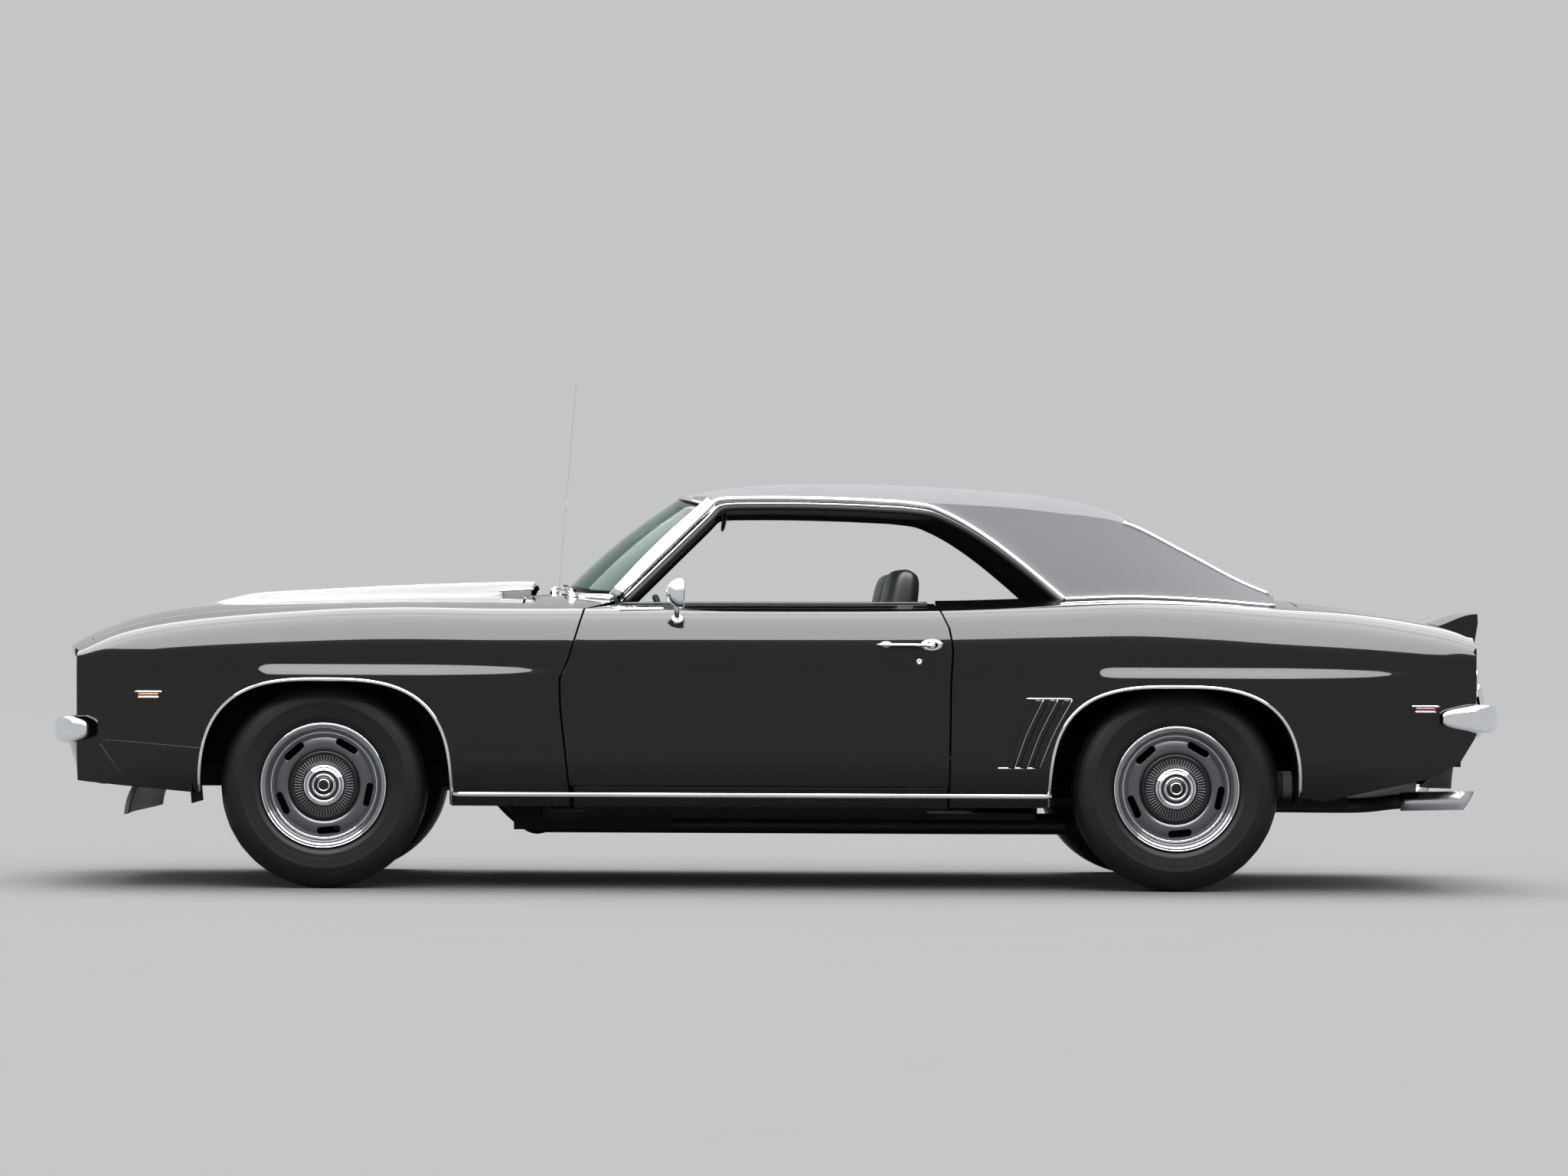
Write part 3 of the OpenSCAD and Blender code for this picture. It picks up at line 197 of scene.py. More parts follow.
# Materials
def node(nt, kind, *inputs, **settings):
    """New shader node with its settings, and its inputs as pairs of a key and a value or socket."""
    n = nt.nodes.new("ShaderNode" + kind)
    for key, value in settings.items():
        setattr(n, key, value)
    for key, value in inputs:
        if isinstance(value, bpy.types.NodeSocket):
            nt.links.new(value, n.inputs[key])
        else:
            n.inputs[key].default_value = value
    return n


def material(name, color, rough=0.4, metal=0.0, coat=0.0, spread=0.0, spread_scale=30.0, bump=0.0,
        bump_scale=300.0, grain=False, **sockets):
    """Procedural material: colour and roughness vary by noise, and a fine bump gives grain."""
    m = bpy.data.materials.new(name)
    m.use_nodes = True
    nt = m.node_tree
    bsdf = nt.nodes["Principled BSDF"]
    sockets.update(Metallic=metal, Coat_Weight=coat, Coat_Roughness=0.02)
    for key, value in sockets.items():
        bsdf.inputs[key.replace("_", " ")].default_value = value
    place = node(nt, "TexCoord").outputs["Object"]
    noise = node(nt, "TexNoise", ("Scale", spread_scale), ("Detail", 4),
        ("Vector", place)).outputs["Fac"]
    dark, pale = ([min(1, c * k) for c in color] + [1] for k in (1 - spread, 1 + spread))
    mix = node(nt, "Mix", (0, noise), (6, dark), (7, pale), data_type="RGBA")
    nt.links.new(mix.outputs[2], bsdf.inputs["Base Color"])
    span = node(nt, "MapRange", ("To Min", rough * 0.85), ("To Max", min(1, rough * 1.15)),
        ("Value", noise))
    nt.links.new(span.outputs["Result"], bsdf.inputs["Roughness"])
    if bump:
        if grain:
            height = node(nt, "TexVoronoi", ("Scale", bump_scale), ("Vector", place),
                feature="DISTANCE_TO_EDGE").outputs["Distance"]
        else:
            height = node(nt, "TexNoise", ("Detail", 3), ("Scale", bump_scale),
                ("Vector", place)).outputs["Fac"]
        relief = node(nt, "Bump", ("Strength", bump), ("Distance", 0.0006), ("Height", height))
        nt.links.new(relief.outputs["Normal"], bsdf.inputs["Normal"])
    return m


def striped(name):
    """Gloss black paint with the pale stripes along the car."""
    m = material(name, BLACK, 0.22, coat=1.0, Specular_IOR_Level=0.05, Coat_IOR=1.45)
    nt = m.node_tree
    color = nt.nodes["Principled BSDF"].inputs["Base Color"]
    split = node(nt, "SeparateXYZ", (0, node(nt, "TexCoord").outputs["Object"]))
    away = node(nt, "Math", (0, split.outputs["Y"]), operation="ABSOLUTE").outputs[0]
    wide, thin = (node(nt, "Math", (0, away), (1, (low + high) / 2 * MM),
        (2, (high - low) / 2 * MM), operation="COMPARE").outputs[0] for low, high in STRIPES)
    both_bands = node(nt, "Math", (0, wide), (1, thin), operation="ADD").outputs[0]
    mix = node(nt, "Mix", (0, both_bands), (6, color.links[0].from_socket), (7, (*WHITE, 1)),
        data_type="RGBA")
    nt.links.new(mix.outputs[2], color)
    return m


BLACK = (0.0035, 0.0035, 0.004)
WHITE = (0.62, 0.62, 0.61)
M = {key: material(*row, **rest) for key, row, rest in (
    ("paint", ("gloss_black", BLACK, 0.2), dict(coat=1.0, spread=0.1, bump=0.015, bump_scale=90,
     Specular_IOR_Level=0.05, Coat_IOR=1.45)),
    # the roof vinyl's pale grey base colour is painted sheen: it stands in for the broad reflection
    # of the overhead light on the dark vinyl
    ("vinyl", ("roof_vinyl_painted_sheen", (0.42, 0.422, 0.436), 0.72), dict(spread=0.05, spread_scale=8,
     bump=0.55, bump_scale=650, grain=True, Specular_IOR_Level=0.05)),
    ("chrome", ("chrome", (0.86, 0.87, 0.89), 0.07), dict(metal=1.0, spread=0.03)),
    ("satin_chrome", ("satin_chrome", (0.62, 0.63, 0.65), 0.22), dict(metal=1.0, spread=0.05)),
    ("wheel", ("wheel_grey", (0.115, 0.12, 0.132), 0.3), dict(metal=0.5, coat=0.4, spread=0.06,
     bump=0.05, bump_scale=900)),
    ("cap_dark", ("cap_dark", (0.010, 0.010, 0.012), 0.3), dict(spread=0.1, bump=0.05,
     Specular_IOR_Level=0.35)),
    ("trim_steel", ("trim_ring_steel", (0.30, 0.31, 0.33), 0.16), dict(metal=1.0, spread=0.06)),
    ("rib_steel", ("rib_steel", (0.24, 0.245, 0.26), 0.3), dict(metal=1.0, spread=0.06)),
    ("pipe", ("pipe_black", (0.028, 0.027, 0.027), 0.5), dict(metal=0.4, spread=0.3,
     spread_scale=14, bump=0.2)),
    ("tyre", ("tyre_rubber", (0.011, 0.011, 0.012), 0.5), dict(spread=0.2, spread_scale=12,
     bump=0.15, bump_scale=700, Specular_IOR_Level=0.22)),
    ("rubber", ("seal_rubber", (0.008, 0.008, 0.009), 0.55), dict(spread=0.1, bump=0.1)),
    ("under", ("underbody_black", (0.008, 0.008, 0.009), 0.62), dict(spread=0.25, bump=0.3,
     bump_scale=150, Specular_IOR_Level=0.2)),
    ("steel", ("dull_steel", (0.33, 0.33, 0.34), 0.36), dict(metal=0.9, spread=0.25,
     spread_scale=14, bump=0.1)),
    ("iron", ("engine_enamel", (0.09, 0.045, 0.02), 0.4), dict(spread=0.2, bump=0.2,
     bump_scale=120)),
    ("seat", ("seat_vinyl", (0.017, 0.017, 0.018), 0.42), dict(spread=0.1, bump=0.35,
     bump_scale=500, grain=True)),
    ("trim", ("cabin_plastic", (0.018, 0.018, 0.019), 0.5), dict(spread=0.1, bump=0.25,
     bump_scale=400, grain=True)),
    ("lining", ("head_lining", (0.03, 0.03, 0.031), 0.75), dict(spread=0.15, bump=0.1,
     bump_scale=350)),
    ("glass", ("tinted_glass", (0.30, 0.48, 0.43), 0.0), dict(Transmission_Weight=1.0, IOR=1.12)),
    ("lens", ("clear_lens", (0.93, 0.95, 0.96), 0.04), dict(Transmission_Weight=1.0, IOR=1.3)),
    ("red", ("red_lens", (0.34, 0.006, 0.008), 0.12), dict(coat=1.0, spread=0.1)),
    ("amber", ("amber_lens", (0.62, 0.22, 0.03), 0.14), dict(coat=1.0, spread=0.1)),
    ("dam", ("dam_grey", (0.055, 0.055, 0.053), 0.55), dict(spread=0.2, spread_scale=10,
     bump=0.2)),
    ("grille", ("grille_black", (0.012, 0.012, 0.013), 0.35), dict(spread=0.1, bump=0.05)),
    ("floor", ("studio_floor", (0.54, 0.545, 0.55), 0.9), dict(spread=0.012, spread_scale=1.5,
     Specular_IOR_Level=0.0)))}
# Distances of each stripe's edges from the middle of the car
STRIPES = ((58, 318), (330, 340))
M["hood_paint"] = striped("hood_stripes")
M["deck_paint"] = striped("deck_stripes")
# Looks that go with each slot of the record; the CAD nodes that stay take the first
SLOT_LOOKS = {
    "body_paint": "paint", "vinyl_roof": "vinyl", "dark_plastic": "grille rubber cap_dark dam",
    "window_glass": "glass", "lamp_glass": "lens amber", "red_lens": "red",
    "bright_chrome": "chrome satin_chrome trim_steel rib_steel", "satin_black": "under",
    "bare_steel": "steel pipe", "wheel_grey": "wheel", "engine_iron": "iron",
    "cabin_plastic": "trim", "seat_cover": "seat", "tyre_rubber": "tyre"}
SLOTS = {look: slot for slot, looks in SLOT_LOOKS.items() for look in looks.split()}
# the dark inner sides belong to the painted panels
SLOTS["under"] = "body_paint"


# Mesh helpers
def linked(name, data):
    o = bpy.data.objects.new(name, data)
    bpy.context.scene.collection.objects.link(o)
    return o


def bevelled(o, name, width, segments, angle):
    b = o.modifiers.new(name, "BEVEL")
    b.width, b.segments = width * MM, segments
    b.limit_method, b.angle_limit = "ANGLE", radians(angle)
    return b


def make(name, verts, faces, mats, body=CAR, slot=None, replaces=None, bevel=0.0, flat=False,
        face_mats=None, normals=True, segments=2):
    mats = mats if isinstance(mats, (list, tuple)) else [mats]
    me = bpy.data.meshes.new(name)
    me.from_pydata([tuple(float(c) * MM for c in v) for v in verts], [],
        [tuple(int(i) for i in f) for f in faces])
    for m in mats:
        me.materials.append(M[m])
    if face_mats is not None:
        me.polygons.foreach_set("material_index", np.asarray(face_mats, np.int32))
    me.polygons.foreach_set("use_smooth", [not flat] * len(me.polygons))
    if normals:
        bm = bmesh.new()
        bm.from_mesh(me)
        bmesh.ops.recalc_face_normals(bm, faces=bm.faces)
        bm.to_mesh(me)
        bm.free()
    me.update()
    o = linked(name, me)
    if bevel:
        bevelled(o, "edges", bevel, segments, 48).harden_normals = True
    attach(o, body)
    slot or SLOTS.get(mats[0], "body_paint")
    if replaces:
        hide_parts(replaces)
    return o


def grid_quads(n, m, close_n=False, close_m=False):
    quads = []
    for i in range(n if close_n else n - 1):
        for j in range(m if close_m else m - 1):
            a, b, k = i * m, (i + 1) % n * m, (j + 1) % m
            quads.append((a + j, b + j, b + k, a + k))
    return quads


def shell(name, outer, inner, mats, **kw):
    """Closed solid between two grids; the inner side takes the second material."""
    outer, inner = np.asarray(outer, float), np.asarray(inner, float)
    n, m = outer.shape[:2]
    k = n * m
    front = grid_quads(n, m)
    back = [tuple(i + k for i in reversed(q)) for q in front]
    rim = []
    for i in range(n - 1):
        a, b = i * m, (i + 1) * m
        rim += [(a, a + k, b + k, b), (a + m - 1, b + m - 1, b + m - 1 + k, a + m - 1 + k)]
    for j in range(m - 1):
        a, c = j, (n - 1) * m + j
        rim += [(a, a + 1, a + 1 + k, a + k), (c, c + k, c + 1 + k, c + 1)]
    mats = mats if isinstance(mats, (list, tuple)) else [mats]
    tags = [0] * len(front) + [len(mats) - 1] * len(back) + [0] * len(rim)
    return make(name, np.vstack([outer.reshape(-1, 3), inner.reshape(-1, 3)]), front + back + rim,
        mats, face_mats=tags, **kw)


def grid_normals(g):
    g = np.asarray(g, float)
    n = np.cross(np.gradient(g, axis=0), np.gradient(g, axis=1))
    return n / np.maximum(np.linalg.norm(n, axis=2, keepdims=True), 1e-9)


def skin(name, grid, thick, mats, toward=None, **kw):
    """Sheet of that thickness behind a grid; toward is a point on its inner side."""
    g = np.asarray(grid, float)
    nrm = grid_normals(g)
    mid = tuple(s // 2 for s in g.shape[:2])
    inside = np.asarray(toward, float) - g[mid]
    if np.dot(nrm[mid], inside) > 0:
        nrm = -nrm
    return shell(name, g, g - nrm * thick, mats, **kw)


def sweep(name, path, section, mats, normals=None, closed=False, **kw):
    """A section of (across, out) points carried along a path; normals say which way is out."""
    p = np.asarray(path, float)
    n = len(p)
    t = unit(np.roll(p, -1, 0) - np.roll(p, 1, 0) if closed else np.gradient(p, axis=0))
    if normals is None:
        ref = array([0, 0, 1.0]) if abs(t[0][2]) < 0.9 else array([1.0, 0, 0])
        normals = []
        cur = ref - t[0] * np.dot(ref, t[0])
        for i in range(n):
            cur = cur - t[i] * np.dot(cur, t[i])
            cur = cur / np.linalg.norm(cur)
            normals.append(cur)
    nv = np.asarray(normals, float)
    if nv.ndim == 1:
        nv = np.tile(nv, (n, 1))
    nv = unit(nv - t * np.sum(nv * t, axis=1, keepdims=True))
    b = np.cross(t, nv)
    k = len(section)
    verts = [p[i] + b[i] * a + nv[i] * o for i in range(n) for a, o in section]
    faces = grid_quads(n, k, close_n=closed, close_m=True)
    if not closed:
        faces += [tuple(range(k)), tuple((n - 1) * k + j for j in reversed(range(k)))]
    return make(name, verts, faces, mats, **kw)


def circle(r, n=12, flat=1.0):
    return [(r * cos(2 * pi * i / n), r * flat * sin(2 * pi * i / n)) for i in range(n)]


def half_round(width, height, sunk=1.5, n=7):
    top = [(-width / 2 * cos(pi * i / (n - 1)), height * sin(pi * i / (n - 1))) for i in range(n)]
    return top + [(width / 2, -sunk), (-width / 2, -sunk)]


def curve_points(points, steps=8):
    """Smooth points through the given ones."""
    p = np.asarray(points, float)
    out = []
    for i in range(len(p) - 1):
        a, b = p[max(0, i - 1)], p[min(len(p) - 1, i + 2)]
        for k in range(steps):
            t = k / steps
            out.append(0.5 * ((2 * p[i]) + (p[i + 1] - a) * t
                + (2 * a - 5 * p[i] + 4 * p[i + 1] - b) * t * t
                + (-a + 3 * p[i] - 3 * p[i + 1] + b) * t ** 3))
    out.append(p[-1])
    return array(out)


def moved(verts, place):
    return (np.c_[verts, np.ones(len(verts))] @ array(place).T)[:, :3]


def unit(t):
    return t / np.linalg.norm(t, axis=1, keepdims=True)


def revolved(profile, n=72, place=None, wave=None):
    """Vertices and faces of a profile of (radius, height) turned about Z."""
    verts = []
    for i in range(n):
        a = 2 * pi * i / n
        for j, (r, z) in enumerate(profile):
            verts.append((r * cos(a), r * sin(a), z + (wave(i, j) if wave else 0)))
    faces = grid_quads(n, len(profile), close_n=True)
    return (array(verts) if place is None else moved(verts, place)), faces


def joined(parts):
    verts, faces, k = [], [], 0
    for v, f in parts:
        verts.append(np.asarray(v, float))
        faces += [tuple(i + k for i in q) for q in f]
        k += len(v)
    return np.vstack(verts), faces


def block(center, size):
    c = array([[x, y, z] for x in (-.5, .5) for y in (-.5, .5) for z in (-.5, .5)]) * size
    return c + np.asarray(center, float), [(0, 1, 3, 2), (4, 6, 7, 5), (0, 4, 5, 1), (2, 3, 7, 6),
        (0, 2, 6, 4), (1, 5, 7, 3)]


# Camera, floor and light
def build_stage():
    scene = bpy.context.scene
    lens = bpy.data.cameras.new("camera")
    lens.sensor_width, lens.lens, lens.clip_end = 36, 121.3, 200
    lens.shift_x, lens.shift_y = 0.0679, 0.0508
    scene.camera = linked("camera", lens)
    scene.camera.matrix_world = (Matrix.Translation((-0.3146, -17.835, 0.715))
        @ Matrix.Rotation(radians(90), 4, "X") @ Matrix.Rotation(radians(0.25), 4, "Z"))
    me = bpy.data.meshes.new("floor")
    s = 60
    me.from_pydata([(-s, -s, 0), (s, -s, 0), (s, s, 0), (-s, s, 0)], [], [(0, 1, 2, 3)])
    me.materials.append(M["floor"])
    linked("floor", me)
    # two broad soft suns, which leave no spot of their own in the gloss
    for name, pitch, roll, energy, angle in (("key_light", -28, 0, 1.75, 55),
            ("back_light", 34, 12, 0.55, 60)):
        light = bpy.data.lights.new(name, "SUN")
        light.energy, light.angle = energy, radians(angle)
        o = linked(name, light)
        o.rotation_euler = [radians(pitch), radians(roll), 0]
        o.visible_glossy = False
        o.location = (0, 0, 6)
    # ceiling cards that show in reflections only, weaker towards the far side
    for middle, depth, radiance in ((-2.6, 4.2, 9.5), (0.0, 1.0, 7.0), (1.0, 1.0, 4.8),
            (3.1, 3.2, 3.0)):
        light = bpy.data.lights.new("gloss_card", "AREA")
        light.shape = "RECTANGLE"
        light.size, light.size_y = 8.4, depth
        light.energy = pi * light.size * light.size_y * radiance
        o = linked("gloss_card", light)
        o.location = (0, middle, 3.3)
        o.visible_camera = o.visible_diffuse = o.visible_transmission = False
    # the world is lighter where it is seen than where it lights
    world = scene.world = bpy.data.worlds.new("studio")
    world.use_nodes = True
    nt = world.node_tree
    path = node(nt, "LightPath").outputs
    through = node(nt, "Math", (0, path["Is Glossy Ray"]), (1, path["Is Transmission Ray"]),
        operation="MAXIMUM").outputs[0]
    seen = node(nt, "Math", (0, path["Is Camera Ray"]), (1, through), operation="MAXIMUM")
    strength = node(nt, "MapRange", ("To Min", 0.42), ("To Max", 0.57), ("Value", seen.outputs[0]))
    back = nt.nodes["Background"]
    back.inputs["Color"].default_value = (0.96, 0.98, 1.0, 1)
    nt.links.new(strength.outputs["Result"], back.inputs["Strength"])
    scene.view_settings.view_transform = "Standard"


# Side panels
SHOULDER_STEPS = [radians(a) for a in linspace(90, 0, 15)]


def side_column(x, foot, warp, edge):
    """Points of one station, from the panel's inner upper edge down to its foot."""
    out = []
    inner = warp(x, BELT, 0)
    crease = warp(x, crease_z(x), 1)
    y0 = edge(inner)
    for t in linspace(0, 1, 7)[:-1]:
        w = lerp(inner, crease, t)
        y = lerp(y0, crease_y(x), t)
        out.append((w, y, top_z(w, y)))
    for a in SHOULDER_STEPS:
        z = WAIST + (crease_z(x) - WAIST) * sin(a)
        w = warp(x, z, 2)
        out.append((w, crease_y(x) + (side_y(x) - crease_y(x)) * cos(a), z))
    for z in linspace(WAIST - 4, LEDGE_FOOT, 9):
        w = warp(x, z, 3)
        out.append((w, low_y(w, z), z))
    for t in linspace(0, 1, 13)[1:]:
        z = lerp(LEDGE_FOOT, foot(x), t)
        w = warp(x, z, 3)
        out.append((w, low_y(w, z), z))
    return out


def arch_span(arch, n=44):
    return [arch[0] + arch[1] * sin(pi / 2 * s) for s in linspace(-1, 1, n)]


def fender_edge(x):
    return lerp(HOOD_HALF + GAP, COWL_HALF + 0.3, clamp01((x - XF - 626) / 11))


def fender_warp(x, z, row):
    front = (lip_x(HOOD_HALF + GAP) - XF + 800) if row == 0 else 0
    back = (XF + 932 if row == 0 else door_front(z) - GAP / 2) - XF - 800
    return x + front * clamp01((XF - 640 - x) / 160) + back * clamp01((x - XF - 450) / 350)


def quarter_edge(x):
    if x >= XR + 392:
        return DECK_HALF + GAP
    return lerp(lerp(700, 672, clamp01((x - XR + 500) / 600)), DECK_HALF + GAP,
        smooth((x - XR - 100) / 292))


def quarter_warp(x, z, row):
    front = XR - 772 if row == 0 else door_rear(z) + GAP / 2
    return x + (front - XR + 735) * clamp01((XR - 440 - x) / 295)


def door_warp(x, z, row):
    s = (x - XF - 800) / (XR - 735 - XF - 800)
    return lerp(XF + 938 if row == 0 else door_front(z) + GAP / 2,
        XR - 778 if row == 0 else door_rear(z) - GAP / 2, s)


def both(make_one):
    make_one("left", -1)
    make_one("right", 1)


def build_sides():
    def panel(stations, foot, warp, edge):
        return array([side_column(x, foot, warp, edge) for x in stations])
    front, rear = (FRONT_ARCH, FRONT_HEM), (REAR_ARCH, REAR_HEM)
    centre, reach = FRONT_ARCH[:2]
    fender = panel(np.r_[linspace(XF - 800, centre - reach, 14)[:-1], arch_span(FRONT_ARCH),
        linspace(centre + reach, XF + 570, 7)[1:], [XF + 578, XF + 586],
        linspace(XF + 600, XF + 800, 9)], lambda x: hem_z(*front, x), fender_warp, fender_edge)
    centre, reach = REAR_ARCH[:2]
    quarter = panel(np.r_[linspace(XR - 735, centre - reach, 16)[:-1], arch_span(REAR_ARCH),
        linspace(centre + reach, XR + 965, 24)[1:]], lambda x: hem_z(*rear, x), quarter_warp,
        quarter_edge)
    door = panel(linspace(XF + 800, XR - 735, 29), lambda x: SILL + 67, door_warp,
        lambda x: DOOR_INNER + 20)
    # the door's inner side stands clear of its hinge edge, most of all near the top
    door_in = door.copy()
    shut_top = (door[:, :, 2] > 870) & (np.arange(door.shape[1]) > 5)
    door_in[:, :, 0] += lerp(np.where(shut_top, 62, 8), -26, linspace(0, 1, 29)[:, None])
    door_in[:, :, 1] = DOOR_INNER
    # rocker panel under the door
    rocker = array([[(x, low_y(x, z) if z >= SILL else low_y(x, SILL) - 30, z)
        for z in (331, 322, 312, 300, 288, 277, SILL, 262)]
        for x in linspace(XF + 806, XR - 738, 24)])

    def one(side, sign):
        flip = [1, sign, 1]
        skin(f"fender_{side}_panel", fender * flip, 12, ["paint", "under"], toward=(XF, 0, 500),
            replaces=f"fender_{side}", bevel=1.6)
        skin(f"quarter_{side}_panel", quarter * flip, 12, ["paint", "under"], toward=(XR, 0, 500),
            replaces=f"quarter_{side}", bevel=1.6)
        shell(f"door_{side}_panel", door * flip, door_in * flip, ["paint", "trim"],
            body=f"door_{side}", replaces=f"door_{side}", bevel=1.6)
        # bright mouldings on the wheel arches, and on the sill below the door
        for name, arch, hem in (("front", *front), ("rear", *rear)):
            path = []
            for x in arch_span(arch, 60):
                z = hem_z(arch, hem, x) + 5
                path.append((x, sign * (low_y(x, z) + 0.6), z))
            sweep(f"arch_{name}_{side}_moulding", path, half_round(11, 4.5), "chrome",
                normals=(0, sign, 0))
        sweep(f"sill_{side}_moulding", [(x, sign * (low_y(x, 306) + 1.5), 306)
            for x in linspace(XF + 418, XR - 402, 60)], half_round(16, 6), "chrome",
            normals=(0, sign, 0))
        skin(f"rocker_{side}", rocker * flip, 4, ["paint", "under"], toward=(XF + 1400, 0, 300),
            bevel=0.8)
    both(one)


def grid(point, n, m):
    """Points of a sheet, by its place from 0 to 1 along and from -1 to 1 across."""
    return array([[point(s, v) for v in linspace(-1, 1, m)] for s in linspace(0, 1, n)])


def upper_grid(x_front, x_back, half, height, n=24, m=49, edges=None):
    def point(s, v):
        x = lerp(x_front(v * half), x_back(v * half), s)
        y = v * (edges(x) if edges else half)
        return x, y, height(x, y)
    return grid(point, n, m)


def build_top():
    g = upper_grid(hood_front, hood_rear, HOOD_HALF, lambda x, y: top_z(x, y) + bulge(x, y), 60,
        121)
    shell("hood_panel", g, g - [0, 0, 16], ["hood_paint", "under"], body="hood", replaces="hood",
        bevel=2)
    g = upper_grid(lambda y: hood_rear(y) + GAP, lambda y: shield_foot_x(y) + 14, COWL_HALF, top_z,
        10, 49)
    shell("cowl_panel", g, g - [0, 0, 10], ["paint", "under"], replaces="cowl", bevel=1.5)
    # nose cap: 12 rows on top, then the rolled front edge
    ys = linspace(-HOOD_HALF, HOOD_HALF, 49)
    rows = upper_grid(lambda y: hood_front(y) - GAP, lip_x, HOOD_HALF, top_z, 12, 49).tolist()
    for dx, dz in ((-1.5, -3), (-3, -8), (-2.5, -16), (0, -30), (6, -60)):
        rows.append([(lip_x(y) + dx, y, max(top_z(lip_x(y), y) + dz, WAIST + 9)) for y in ys])
    g = array(rows)
    inner = g.copy()
    inner[:12] -= [-8, 0, 8]
    inner[12:] += [12, 0, 0]
    shell("nose_cap", g, inner, ["hood_paint", "under"], replaces="nose_panel", bevel=1.5)
    g = upper_grid(lambda y: back_foot_x(y) - 12, lambda y: XR + 409, 600, top_z, 16, 49,
        edges=lambda x: quarter_edge(x) - 1.2)
    shell("rear_filler_panel", g, g - [0, 0, 10], ["deck_paint", "under"], replaces="rear_filler",
        bevel=1.5)
    # deck lid: 30 rows on top, then the edge rolled down to the tail panel
    tail = DECK_TAIL
    ys = linspace(-DECK_HALF, DECK_HALF, 61)
    rows = [[(x, y, top_z(x, y)) for y in ys]
        for x in (lerp(XR + 415, tail, t) for t in linspace(0, 1, 30))]
    for dx, dz in ((8, -3), (14, -8), (17, -16), (20, -30)):
        rows.append([(tail + dx, y, top_z(tail, y) + dz) for y in ys])
    rows.append([(XR + 968, y, WAIST + 60) for y in ys])
    g = array(rows)
    inner = g.copy()
    inner[:29] -= [0, 0, 14]
    inner[29:] -= [14, 0, 10]
    inner[-1] = g[-1] - [14, 0, 0]
    shell("deck_panel", g, inner, ["deck_paint", "under"], body="deck_lid", replaces="deck_lid",
        bevel=1.8)
    # spoiler: rows 0 to 8 rise to the crest, the rest fall down its back
    half = DECK_HALF - 4
    outer, inner = [], []
    for row in range(13):
        up, down = row / 8, (row - 8) / 4
        line, under = [], []
        for y in linspace(-half, half, 61):
            crest = BELT - 20 - 8 * (y / half) ** 2
            start = top_z(XR + 872, y) + 3
            if row <= 8:
                line.append((lerp(XR + 872, XR + 1000, up), y,
                    lerp(start, crest, sin(up * pi / 2) ** 1.25)))
                x = lerp(XR + 872, XR + 952, up)
                under.append((x, y, top_z(min(x, tail), y) + 0.4 - max(0, x - tail) * 0.8))
            else:
                line.append((lerp(XR + 1004, XR + 988, down ** 1.4), y,
                    lerp(crest - 4, WAIST + 60, down)))
                under.append((lerp(XR + 962, XR + 969, down), y,
                    lerp(top_z(tail, y) - 10, WAIST + 60, down)))
        outer.append(line)
        inner.append(under)
    shell("ducktail_spoiler", outer, inner, ["deck_paint", "paint"], body="deck_lid",
        replaces="spoiler", bevel=3.0, segments=3)


